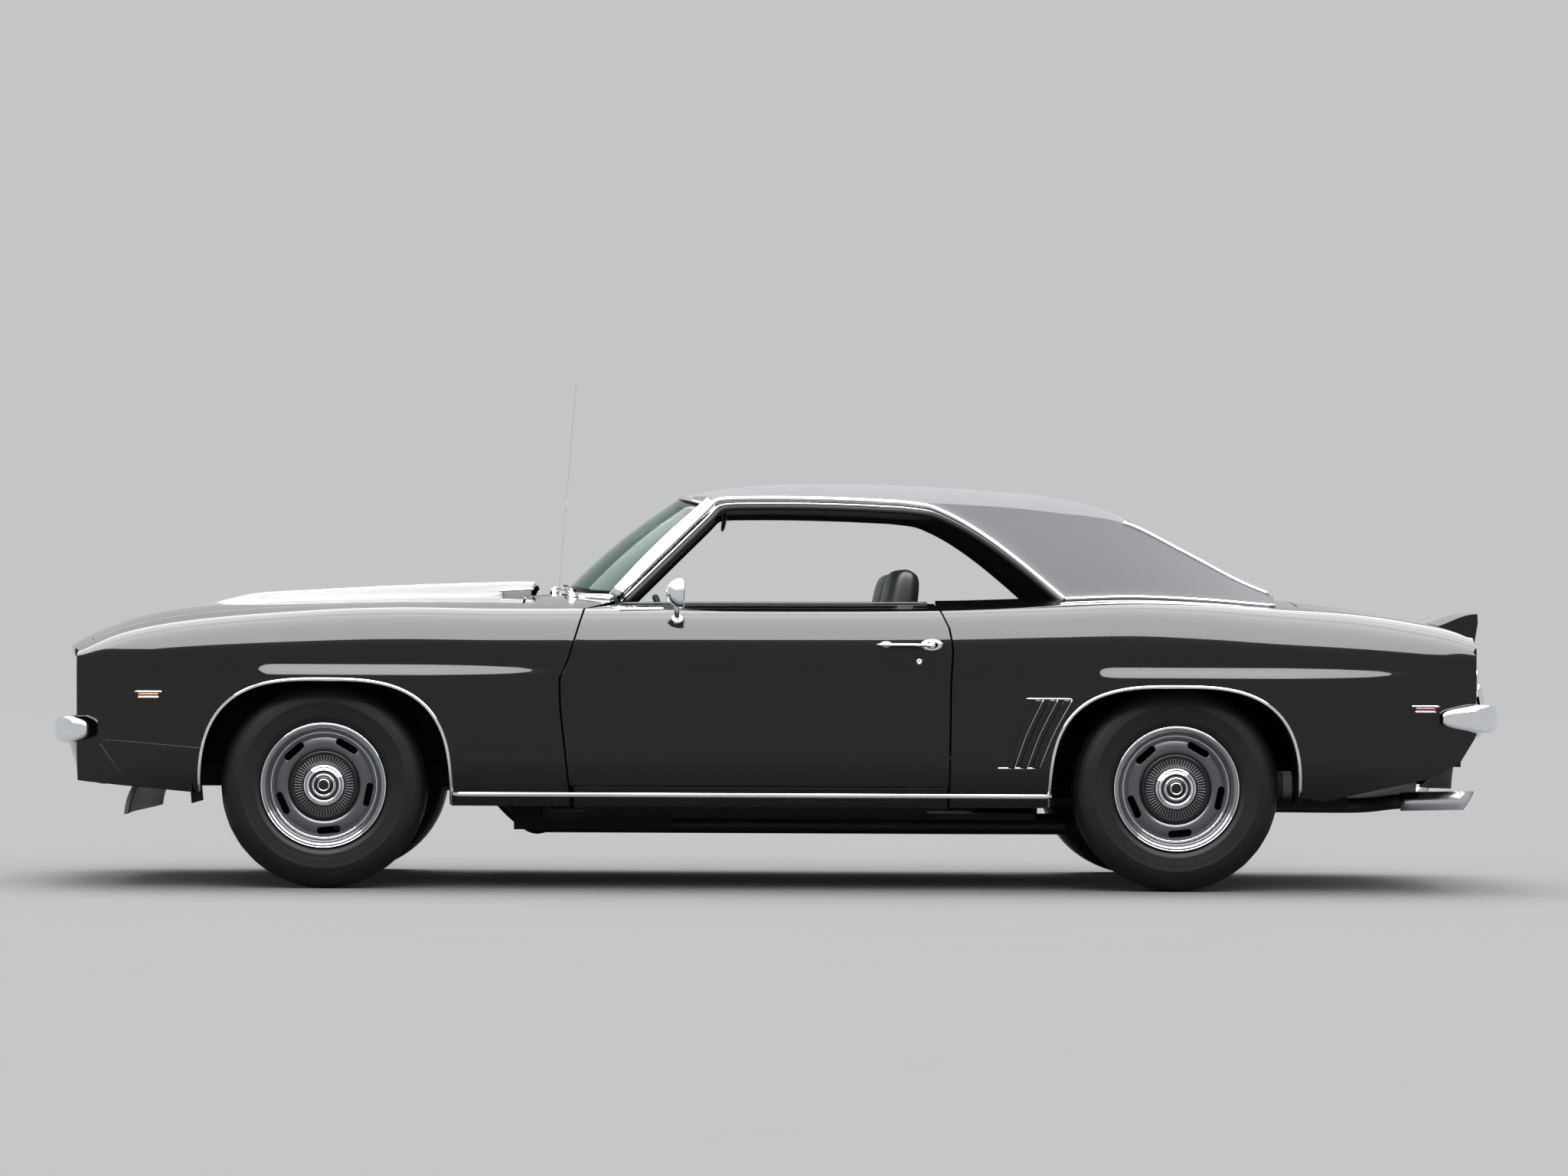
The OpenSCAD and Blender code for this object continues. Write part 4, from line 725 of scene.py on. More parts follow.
def build_roof():
    g = upper_grid(lambda y: shield_top_x(y) + 5, lambda y: XR - 140, 587, roof_z, 46, 49,
        edges=roof_edge_y)
    skin("roof_skin", g, 30, ["vinyl", "lining"], toward=(XF + 1700, 0, 900), replaces="roof",
        bevel=3)
    vs = linspace(0, 1, 17)
    sail = array([[sail_point(s, v) for v in vs] for s in linspace(0, 1, 30)])
    inner = sail.copy()
    for line in inner:
        for j, v in enumerate(vs):
            x, y, z = line[j] - [0, 34, 0]
            line[j] = (x, y, z - 16 * (1 - v) if v < 1 else top_z(x, y) + 2.7)
    foot = array([XF + 930, 652, BELT + 13.8])
    head = array([XF + 1246, 577, ROOF_TOP - 80])
    pillar = [lerp(foot, head, t) + array([-6, 5, 6]) * sin(pi * t) for t in linspace(0, 1, 14)]
    # rail that runs over the side window and down the sail's front edge
    rail = [lerp(foot, head, t) + array([14, 14, 4]) for t in linspace(0.02, 1, 10)]
    rail += [(x, roof_edge_y(x) + 4, roof_edge_z(x) - 4)
        for x in linspace(XF + 1300, XF + 1860, 16)]
    rail += [array(sail_point(0, v)) + [-2, 3, 0] for v in linspace(0.03, 1, 20)]
    # filler between the sail and the rear window
    filler = []
    for s in linspace(0, 1, 24):
        x = lerp(XR - 150, SAIL_TIP - 26, s)
        a = array([x, roof_edge_y(x) - 5, roof_edge_z(x) - 1])
        b = lerp(array([XR - 138, 486, ROOF_TOP - 143]),
            array([XR + 240, 571, top_z(XR + 240, 571) + 4]), s)
        b = b + array([0.5, 0, 0.8]) * 14 * sin(pi * s)
        filler.append([lerp(a, b, w) - array([0, 0, 8]) * sin(pi * w) for w in linspace(0, 1, 7)])
    # mouldings down the sail's rear edge and along the vinyl's lower edge
    back = [(x, roof_edge_y(x) - 1, roof_edge_z(x) + 2)
        for x in linspace(XR - 150, SAIL_TIP - 12, 24)]
    tip = [array(sail_point(s, 1)) + [0, 4, 1] for s in linspace(0, 1, 26)]

    def one(side, sign):
        flip = array([1, sign, 1])
        shell(f"sail_{side}_skin", sail * flip, inner * flip, ["vinyl", "lining"], bevel=2.5)
        section = [(-21, -14), (-21, 6), (-17, 10), (-9, 12), (9, 12), (17, 10), (21, 6),
            (21, -14)]
        sweep(f"pillar_{side}_cover", pillar * flip, section, "chrome",
            normals=(-0.35, sign * 0.9, 0.15))
        line = curve_points(array(rail) * flip, 3)
        sweep(f"drip_{side}_rail", line, half_round(15, 7, 4), "chrome", normals=(0, sign, 0.12))
        sweep(f"window_{side}_frame", line + [10, -sign * 8, -16], half_round(11, 6, 6),
            "satin_chrome", normals=(0, sign, 0))
        sweep(f"window_{side}_seal", line + [16, -sign * 14, -27], circle(11, 10), "rubber")
        skin(f"sail_{side}_filler", array(filler) * flip, 4, ["vinyl", "lining"],
            toward=(XR, 0, 900))
        sweep(f"sail_{side}_moulding", array(back) * flip, half_round(13, 6), "chrome",
            normals=(0.5, sign * 0.35, 0.8))
        sweep(f"vinyl_{side}_moulding", array(tip) * flip, half_round(11, 5), "chrome",
            normals=(0, sign * 0.8, 0.6))
    both(one)


def build_glass():
    def pane(name, low_of, high_of, bow_x, bow_z, bow, back, rise, replaces):
        """Bowed pane between two edges, with a bright reveal round it."""
        g = grid(lambda s, v: lerp(array(low_of(v)), array(high_of(v)), s)
            + array([bow_x, 0, bow_z]) * bow * sin(pi * s), 14, 41)
        shell(f"{name}_pane", g, g + back, "glass", replaces=replaces)
        edge = np.vstack([g[0], g[1:, -1], g[-1][::-1][1:], g[::-1, 0][1:-1]])
        sweep(f"{replaces}_reveal", edge + rise, circle(6, 8), "chrome", closed=True)

    def low(v):
        foot, y = shield_foot_x(v * COWL_HALF), v * (COWL_HALF - 28)
        return foot, y, top_z(foot, y) + 4.5

    def high(v):
        return shield_top_x(v * 548), v * 548, ROOF_TOP - 51 - 38 * v * v

    def back_low(v):
        foot, y = back_foot_x(v * 600), v * 575
        return foot, y, top_z(foot, y) + 5.6

    def back_high(v):
        return XR - 136, v * 490, ROOF_TOP - 100 - 42 * v * v
    pane("windshield", low, high, -0.8, 0.6, 16, [4.2, 0, -4.2], [-2, 0, 2], "windshield")
    pane("rear", back_high, back_low, 0.5, 0.8, 14, [-3.6, 0, -4.8], [1, 0, 2], "rear_window")


# Wheels
def rim_slots():
    """Five oblong cutters through the wheel disc, in millimetres."""
    ring = []
    for k in range(24):
        t = 2 * pi * k / 24
        ring.append((145 + 11.5 * cos(t), 11.5 * sin(t) + (27 if sin(t) >= 0 else -27)))
    faces = [(i, (i + 1) % 24, 24 + (i + 1) % 24, 24 + i) for i in range(24)]
    faces += [tuple(reversed(range(24))), tuple(range(24, 48))]
    cutters = []
    for a in (radians(72 * k + 60) for k in range(5)):
        c, s_ = cos(a), sin(a)
        cutters.append(([(x * c - y * s_, x * s_ + y * c, z) for z in (20, 90) for x, y in ring],
            faces))
    return joined(cutters)


def build_wheel(tag, x, track, side):
    place = (Matrix.Translation((x, side * track / 2, HUB_Z))
        @ Matrix.Rotation(radians(-90 * side), 4, "X"))
    body = f"wheel_{tag}"
    # tyre: rounded shoulders, side rings and zigzag tread grooves
    wall = [(186.5, 83), (199.4, 89), (203, 92), (210, 97), (218, 101), (222, 103.5), (226, 103.2),
        (236, 105), (250, 106.6), (262, 107), (266, 108.2), (270, 107), (284, 105.5), (297, 101),
        (307, 95), (314, 89), (318, 86), (319, 82), (323, 77), (328, 70)]
    tread = [(329.5, 64)]
    for g in (42, 14, -14, -42):
        tread += [(331.6, g + 5.5), (324.5, g + 3), (324.5, g - 3), (331.6, g - 5.5)]
    tread += [(329.5, -64)]
    first, last = len(wall) + 1, len(wall) + len(tread) - 2

    def wave(i, j):
        return 3.2 * (abs((i % 6) - 3) - 1.5) if first <= j <= last else 0
    v, f = revolved(wall + tread + [(r, -z) for r, z in reversed(wall)], 180, place, wave)
    make(f"tyre_{tag}_rubber", v, f, "tyre", body=body, replaces=f"tyre_{tag}")
    # rim disc with five oblong slots
    prof = [(186.6, -84), (197, -88), (197, -91), (181, -91), (180, -70), (179, 20), (176, 34),
        (168, 44), (162, 47), (157, 49), (135, 49), (127, 46), (118, 40), (113, 37), (108, 37),
        (40, 30), (23, 30), (23, 40), (60, 41), (106, 47), (112, 52), (118, 58), (128, 61),
        (140, 60), (156, 55.5), (162, 52), (167, 52.5), (171, 60), (174, 72), (177, 84), (181, 88),
        (186, 89), (186.6, 60), (186.6, -60)]
    v, f = revolved(prof, 96)
    k = len(prof)
    f += [(i * k + k - 1, (i + 1) % 96 * k + k - 1, (i + 1) % 96 * k, i * k) for i in range(96)]
    rim = make(f"rim_{tag}_disc", v, f, "wheel", body=body, replaces=f"rim_{tag}")
    v, f = rim_slots()
    me = bpy.data.meshes.new("slot_cutter")
    me.from_pydata([tuple(c * MM for c in p) for p in v], [], f)
    cutter = linked("slot_cutter", me)
    cut = rim.modifiers.new("slots", "BOOLEAN")
    cut.operation, cut.solver, cut.object = "DIFFERENCE", "EXACT", cutter
    bevelled(rim, "lips", 1.6, 2, 50)
    apply_modifiers(rim)
    bpy.data.objects.remove(cutter)
    for step in (Matrix.Scale(1000, 4), place, Matrix.Scale(MM, 4)):
        rim.data.transform(step)
    smooth_by_angle(rim, 45)

    def part(name, look, n, profile, **kw):
        turned(name, profile, place, look, n, body=body, **kw)
    prof = [(178, 76), (179.5, 84), (183, 91), (188, 97), (192, 99.5), (196, 100), (199.5, 98),
        (201, 94), (200, 92.5), (196, 96), (190, 94), (184, 87), (180, 78)]
    part(f"trim_ring_{tag}", "trim_steel", 120, prof + [prof[0]])
    for r, z in ((199.5, 98.5), (170, 62)):
        part(f"ring_{tag}_{int(r)}", "chrome", 120, [(r + 2.2 * cos(t), z + 2.2 * sin(t))
            for t in linspace(0, 2 * pi, 9)])
    # dark ribbed cap with its bright middle
    part(f"cap_{tag}_dish", "cap_dark", 96, [(112, 48), (113, 56), (110, 62), (105, 64),
        (100, 62.5), (96, 61), (70, 64), (68, 66), (66, 66)])
    rib, f = block((83, 0, 64), (26, 2.6, 7))
    rib[:, 2] += (rib[:, 0] < 80) * 2.5
    turns = [Matrix.Rotation(2 * pi * k / 60, 4, "Z") for k in range(60)]
    v, f = joined([(rib @ array(t.to_3x3()).T, f) for t in turns])
    make(f"cap_{tag}_ribs", moved(v, place), f, "rib_steel", body=body, flat=True, bevel=0.5)
    part(f"cap_{tag}_middle", "chrome", 72, [(66, 62), (66.5, 68), (64, 71), (60, 72), (58, 75),
        (55.5, 79), (52.5, 80), (49.5, 78), (48, 71), (40, 71), (37.5, 73), (37, 80), (34.5, 83),
        (32, 83), (31, 80)])
    part(f"cap_{tag}_dome", "cap_dark", 48, [(31.5, 79), (28, 83), (22, 85), (14, 86),
        (0.01, 86.5)])
    part(f"cap_{tag}_dome_ring", "chrome", 48, [(16, 85.4), (18, 87.2), (20, 85)])
    part(f"cap_{tag}_band", "cap_dark", 48, [(47.8, 71.6), (38.5, 71.6)], normals=False)
    sweep(f"valve_{tag}", [Vector(place @ Vector((168, -60, z))) for z in (50, 62, 76)],
        circle(3.2, 8), "rubber", body=body)


def apply_modifiers(o):
    dg = bpy.context.evaluated_depsgraph_get()
    dg.update()
    me = bpy.data.meshes.new_from_object(o.evaluated_get(dg))
    o.modifiers.clear()
    old = o.data
    o.data = me
    bpy.data.meshes.remove(old)


def smooth_by_angle(o, degrees):
    bm = bmesh.new()
    bm.from_mesh(o.data)
    for e in bm.edges:
        e.smooth = len(e.link_faces) != 2 or e.calc_face_angle(0) < radians(degrees)
    for f in bm.faces:
        f.smooth = True
    bm.to_mesh(o.data)
    bm.free()


def build_wheels():
    for tag, x, track in TRACKS:
        both(lambda side, sign: build_wheel(f"{tag}_{side}", x, track, sign))


# Bumpers
BAR = [(0, -0.5), (0.35, -0.5), (0.62, -0.46), (0.82, -0.37), (0.94, -0.24), (1, -0.08), (1, 0.08),
    (0.94, 0.24), (0.82, 0.37), (0.62, 0.46), (0.35, 0.5), (0, 0.5)]


def bumper(name, path, depth, height, side, replaces):
    p = curve_points(path, 5)
    t = unit(np.gradient(p, axis=0))
    outer, inner = [], []
    n = len(p)
    for i in range(n):
        ease = sqrt(clamp01(min(i, n - 1 - i) / 7 + 0.02))
        h = height * lerp(0.25, 1, ease)
        out = array([-side * t[i][1], side * t[i][0], 0])
        outer.append([p[i] + out * depth * a * lerp(0.35, 1, ease) + array([0, 0, h * b])
            for a, b in BAR])
        inner.append([p[i] - out * 5 + array([0, 0, h * b * 0.92]) for a, b in BAR])
    return shell(name, outer, inner, ["chrome", "steel"], replaces=replaces, bevel=1.5)


def front_bar_x(y): return XF - 915 + 30 + 44 * (abs(y) / 780) ** 2.4
def rear_bar_x(y): return XR + 1075 - 30 - 36 * (abs(y) / 790) ** 2.4


def build_bumpers():
    def path(ends, bar, z):
        ys = [-770, -700, -560, -400, -200, 0, 200, 400, 560, 700, 770]
        left = [(x, -y, z) for x, y in ends]
        return left + [(bar(y), y, z) for y in ys] + [(x, y, z) for x, y in reversed(ends)]
    bumper("front_bumper_bar", path([(XF - 756, 853), (XF - 788, 846), (XF - 818, 832),
        (XF - 838, 804)], front_bar_x, 509), 30, 82, 1, "front_bumper")
    bumper("rear_bumper_bar", path([(XR + 852, 862), (XR + 930, 854), (XR + 985, 838),
        (XR + 1007, 808)], rear_bar_x, 561), 30, 90, -1, "rear_bumper")


def skin_y(x, z):
    if z < WAIST:
        return low_y(x, z)
    s = clamp01((z - WAIST) / (crease_z(x) - WAIST))
    return crease_y(x) + (side_y(x) - crease_y(x)) * sqrt(1 - s * s)


def tube(name, path, r, wall, mats, n=24, **kw):
    """Open-ended pipe with a wall."""
    p = np.asarray(path, float)
    verts = []
    for q, d in zip(p, unit(np.gradient(p, axis=0))):
        u = np.cross(d, [0, 0, 1.0])
        u /= np.linalg.norm(u)
        w = np.cross(u, d)
        for rad in (r, r - wall):
            verts += [q + rad * (cos(a) * u + sin(a) * w) for a in linspace(0, 2 * pi, n,
                endpoint=False)]
    faces = []
    k = 2 * n
    for i in range(len(p) - 1):
        for j in range(n):
            a, b = i * k + j, i * k + (j + 1) % n
            faces += [(a, b, b + k, a + k), (a + n, a + n + k, b + n + k, b + n)]
    for i in (0, len(p) - 1):
        faces += [(i * k + j, i * k + n + j, i * k + n + (j + 1) % n, i * k + (j + 1) % n)
            for j in range(n)]
    return make(name, verts, faces, mats, **kw)


def turned(name, profile, place, mats, n=48, **kw):
    v, f = revolved(profile, n, place)
    return make(name, v, f, mats, **kw)


def facing(point, axis):
    """Matrix that puts local Z along an axis, in millimetres."""
    z = Vector(axis).normalized()
    return Matrix.Translation(point) @ z.to_track_quat("Z", "Y").to_matrix().to_4x4()


def side_path(points, sign, out=0.0, steps=10):
    """Path on the car's side through (x, z) points, standing out from the skin."""
    if len(points) > 2:
        path = curve_points(points, steps)
    else:
        path = [lerp(*array(points, float), t) for t in linspace(0, 1, steps + 1)]
    return [(x, sign * (skin_y(x, z) + out), z) for x, z in path]


def build_side_trim():
    def one(side, sign):
        def strip(name, points, section, look="chrome", out=1, steps=10, normals=(0, sign, 0),
                **kw):
            sweep(name, side_path(points, sign, out, steps), section, look, normals=normals, **kw)

        def knob(name, point, profile, look="chrome", wide=1, lean=0):
            turned(name, profile, facing(point, (0, sign, lean))
                @ Matrix.Diagonal((wide, 1, 1, 1)), look, body=door)
        door = f"door_{side}"
        for tag, x0, x1, z, lens in (("front", XF - 606, XF - 518, 622, "amber"),
                ("rear", XR + 753, XR + 843, 592, "red")):
            mid = (x0 + x1) / 2
            strip(f"marker_{tag}_{side}_frame", [(x0, z + 9), (x1, z + 9)], half_round(7, 6))
            strip(f"marker_{tag}_{side}_foot", [(mid - 34, z - 9), (mid + 34, z - 9)],
                half_round(7, 6))
            strip(f"marker_{tag}_{side}_lens", [(mid - 33, z), (mid + 33, z)], half_round(13, 6),
                lens)
        for k in range(3):
            top, foot = XR - 447 + k * 46, XR - 537 + k * 40
            line = [(top, 617), ((top + foot) / 2 - 7, 508), (foot, 399)]
            strip(f"louvre_{k}_{side}_vane", line, half_round(26, 9), "paint", 0.5)
            strip(f"louvre_{k}_{side}_edge", [(x + 13, z) for x, z in line], half_round(4, 4),
                "satin_chrome", 2)
        for tag, x0, x1, z in (("top", XR - 488, XR - 343, 620), ("foot", XR - 578, XR - 455, 397)):
            strip(f"louvre_{tag}_{side}_bar", [(x0, z), (x1, z)], half_round(6, 5), "satin_chrome")
        # door handle with its button, and the lock
        z = BELT - 139
        x0 = XR - 958
        y = skin_y(x0 + 98, z)
        pts = [(x0 + 2, y - 2, z), (x0 + 8, y + 16, z), (x0 + 30, y + 23, z), (x0 + 90, y + 25, z),
            (x0 + 140, y + 24, z - 1), (x0 + 166, y + 20, z - 2)]
        sweep(f"handle_{side}_grip", curve_points(pts, 5) * [1, sign, 1],
            [(q * 0.62, w * 1.75) for q, w in circle(9, 16)], "chrome", normals=(0, sign, 0),
            body=door)
        at_button = (x0 + 166, sign * (y - 3), z - 1)
        knob(f"handle_{side}_button", at_button, [(0.01, 29), (8, 29), (10.5, 27), (11, 18),
            (13, 16)])
        knob(f"handle_{side}_base", at_button, [(11, 19), (15, 18.5), (18, 15), (20.5, 8),
            (21.5, 0)], wide=1.75)
        knob(f"handle_{side}_post", (x0 + 20, sign * (y - 3), z),
            [(0.01, 13), (7, 12), (10, 7), (12, 0)], wide=1.75)
        knob(f"lock_{side}", (XR - 832, sign * (skin_y(XR - 832, 737) - 1), 737),
            [(0.01, 3.4), (2.2, 3.2), (2.6, 4.6), (8, 5), (9.5, 3), (10, 0)], "satin_chrome",
            lean=0.1)
        # wedge at the foot of the front pillar
        strip(f"belt_{side}_wedge", [(XF + 950, BELT - 30), (XF + 985, BELT - 29),
            (XF + 1030, BELT - 28), (XF + 1090, BELT - 27)], half_round(13, 7), steps=6,
            normals=(0, sign * 0.7, 0.7), body=door)
        # thin seams where the valance meets the fender
        for tag, pts in (("upper", [(XF - 720, 476), (XF - 560, 464), (XF - 384, 449)]),
                ("front", [(XF - 722, 462), (XF - 674, 395), (XF - 630, 334)])):
            strip(f"seam_{tag}_{side}", pts, half_round(3, 0.7, 0.5), "rubber", 0.2)
        # belt seal along the door's inner edge
        y = DOOR_INNER + 16
        sweep(f"belt_{side}_seal", [(x, sign * y, top_z(x, y) + 1)
            for x in linspace(XF + 960, XR - 800, 24)], half_round(12, 5), "rubber",
            normals=(0, 0, 1), body=door)
    both(one)
    # door mirror
    base = array([XF + 1136, -869.3, BELT - 59])
    path = curve_points([base, base + [-2, -14, 12], base + [-2, -34, 34], base + [4, -44, 56]], 6)
    sweep("mirror_arm", path, circle(9, 14, 0.7), "chrome", body="door_left",
        replaces="mirror_left")
    place = facing((XF + 1140, -912, BELT + 24), (-1, 0, 0.02))
    turned("mirror_shell", [(0.01, 40), (12, 39), (26, 33), (38, 22), (46, 8), (48.5, -4),
        (48, -14), (45, -18), (44, -15)], place, "chrome", body="door_left")
    turned("mirror_glass", [(0.01, -13), (44.5, -13), (44.5, -10), (0.01, -10)], place, "chrome",
        body="door_left", flat=True)
    turned("mirror_foot", [(0.01, 5), (13, 4.5), (18, 2), (19, -2)],
        facing(base + [0, -3, 2], (0, -0.79, 0.61)), "chrome", body="door_left")


def build_nose():
    # valance with full corners below the bumper
    rows = []
    for z in linspace(467, 336, 12):
        half = low_y(XF - 790, z) - 4
        lean = 40 * clamp01((467 - z) / 131)
        rows.append([(XF - 792 - 70 * (1 - abs(v) ** 4.2) - 16 * (1 - v * v) + lean, v * half, z)
            for v in linspace(-1, 1, 61)])
    skin("front_valance_panel", rows, 8, ["paint", "under"], toward=(XF, 0, 400),
        replaces="front_valance", bevel=1.2)
    # raked air dam under the nose, and the pan that carries it
    g = grid(lambda s, v: (XF - 668 - 36 * s + 46 * abs(v) ** 3 - 8 * sin(pi * s), v * 560,
        332 - 110 * s + 10 * abs(v) ** 4 * s), 9, 41)
    skin("air_dam_blade", g, 7, "dam", toward=(XF, 0, 300), replaces="air_dam", bevel=2)
    g = grid(lambda s, v: (lerp(XF - 812 + 76 * abs(v) ** 2.2, XF - 562, s), v * 600, 328 + 5 * s),
        7, 31)
    skin("nose_pan", g, 6, "under", toward=(XF - 700, 0, 600), slot="dark_plastic", bevel=1.5)
    # grille surround and bright bars
    for name, zs, half, n, out, section, look in (
            ("surround", (736, 560), 745, 41, 23.5, half_round(9, 5), "chrome"),
            ("line", (611, 650, 689), 490, 31, 24.5, half_round(4, 2), "satin_chrome")):
        for k, z in enumerate(zs):
            sweep(f"grille_{name}_{k}", [(lip_x(y) + out, y, z) for y in linspace(-half, half, n)],
                section, look, normals=(-1, 0, 0))

    def one(side, sign):
        place = facing((lip_x(600) + 28, sign * 600, 648), (-1, 0, 0))
        for part, look, n, profile in (("lens", "lens", 48, [(0.01, 12), (30, 11), (60, 6),
                (80, -4), (80, -8), (60, 2), (30, 7), (0.01, 8)]),
                ("bowl", "chrome", 48, [(0.01, -44), (25, -42), (50, -32), (70, -16), (81, -5),
                (83, -6), (72, -19), (52, -36), (25, -47), (0.01, -49)]),
                ("ring", "chrome", 48, [(79, -2), (82, 5), (87, 8), (92, 5), (93, -3), (84, -6),
                (79, -4), (79, -2)]), ("bulb", "satin_chrome", 24,
                [(0.01, -12), (8, -13), (13, -20), (14, -34), (12, -42)])):
            turned(f"headlamp_{side}_{part}", profile, place, look, n,
                replaces="headlamps" if part == "lens" else None)
    both(one)


def build_cowl():
    # air slots in the cowl, as black strips that paint the shade inside the openings, and the
    # wipers
    for k in range(3):
        pts = []
        for y in linspace(-470, 470, 41):
            x = hood_rear(y) + GAP + 16 + 14 * k
            pts.append((x, y, top_z(x, y) + 0.2))
        sweep(f"cowl_slot_{k}", pts, half_round(8, 1.6), "rubber", normals=(0, 0, 1))
    pts = [(shield_foot_x(y) - 8, y, top_z(shield_foot_x(y) - 8, y) + 2)
        for y in linspace(-640, 640, 61)]
    sweep("shield_foot_trim", pts, half_round(12, 6), "chrome", normals=(-0.3, 0, 1))
    for k, y0 in enumerate((-430, 60)):
        foot = shield_foot_x(y0) - 34
        turned(f"wiper_{k}_pivot", [(0.01, 24), (7, 23), (9, 18), (13, 10), (16, 0)],
            facing((foot, y0, top_z(foot, y0)), (-0.2, 0, 1)), "chrome", 32)
        arm = []
        for t in linspace(0, 1, 12):
            y = y0 + 380 * t
            x = shield_foot_x(y) - lerp(34, 2, min(1, t * 2.2))
            arm.append((x, y, top_z(min(x, XF + 1000), y) + lerp(24, 22, t)))
        sweep(f"wiper_{k}_arm", arm, half_round(8, 5), "satin_chrome", normals=(-0.4, 0, 1))
        blade = [(shield_foot_x(y) + 4, y, top_z(shield_foot_x(y), y) + 24)
            for y in linspace(y0 + 190, y0 + 600, 14)]
        sweep(f"wiper_{k}_blade", blade, half_round(6, 11), "rubber", normals=(-0.5, 0, 0.8))
    turned("antenna_base", [(0.01, 30), (5, 29), (7, 24), (12, 12), (19, 4), (21, 0)],
        facing((XF + 715, 700, top_z(XF + 715, 700) + 2), (0, 0, 1)), "chrome", 32)

    def one(side, sign):
        # air slot in the side of the raised hood, as a black strip that paints the shade inside the
        # opening, between bright edges
        out = (0, sign * 0.85, 0.52)
        pts = [(x, sign * 322, top_z(x, 322) + bulge(x, 322) + 1)
            for x in linspace(XF + 556, XF + 652, 9)]
        sweep(f"hood_slot_{side}", pts, half_round(34, 4, 2), "rubber", normals=out, body="hood")
        ends = array([pts[0], *pts, pts[-1]])
        ends[[0, -1], 0] += [-12, 6]
        for tag, off in (("upper", -17), ("lower", 17)):
            sweep(f"hood_slot_{side}_{tag}", ends + [0, sign * off * 0.52, -off * 0.85],
                half_round(5, 4), "satin_chrome", normals=out, body="hood")
    both(one)


def build_wells():
    def one(side, sign):
        for tag, cx, r, inner in (("front", XF, 424, 462), ("rear", XR, 402, 589)):
            rows = []
            for a in map(radians, linspace(-8, 188, 33)):
                rows.append([(cx + r * cos(a), sign * y, HUB_Z + r * sin(a))
                    for y in linspace(inner, 858, 7)])
            skin(f"well_{tag}_{side}_liner", rows, -3, "under", toward=(cx, sign * 700, HUB_Z))
        rows = [[(cx + wide * cos(a), sign * inner, HUB_Z + 54 + high * sin(a))
            for a in map(radians, linspace(0, 180, 25))]
            for wide, high in ((0.2, 0.2), (r - 1, r - 55))]
        skin(f"well_rear_{side}_wall", rows, 3, "under", toward=(cx, 0, 500))
    both(one)


def pad(name, spine, half, thick, pleats, replaces=None):
    """Soft form along a spine of (place, front direction); pleats run along its front."""
    cols, power = 56, 3.4
    steps = 40 // (len(spine) - 1)
    places = curve_points([q[0] for q in spine], steps)
    fronts = unit(curve_points([q[1] for q in spine], steps))
    n = len(places)
    pts = []
    for i, (place, front) in enumerate(zip(places, fronts)):
        v = i / (n - 1)
        end = (1 - abs(2 * v - 1) ** 7) ** (1 / 2.6)
        for j in range(cols):
            a = 2 * pi * j / cols
            c, s_ = cos(a), sin(a)
            across = copysign(abs(c) ** (2 / power), c)
            depth = copysign(abs(s_) ** (2 / power), s_)
            t = depth * thick / 2 * max(end, 0.04)
            if s_ > 0 and abs(across) < 0.72 and 0.1 < v < 0.9:
                t -= 5 * abs(cos(pi * across * pleats / 1.44)) ** 8 * smooth(min(v - 0.1, 0.9 - v)
                    / 0.06)
            if s_ > 0:
                t += 10 * (1 - across ** 2) * end
            pts.append(place + [0, across * half * lerp(0.86, 1, end), 0] + front * t)
    faces = grid_quads(n, cols, close_m=True)
    faces += [tuple(range(cols)), tuple((n - 1) * cols + j for j in range(cols))]
    o = make(name, pts, faces, "seat", replaces=replaces)
    sub = o.modifiers.new("soft", "SUBSURF")
    sub.levels = sub.render_levels = 1


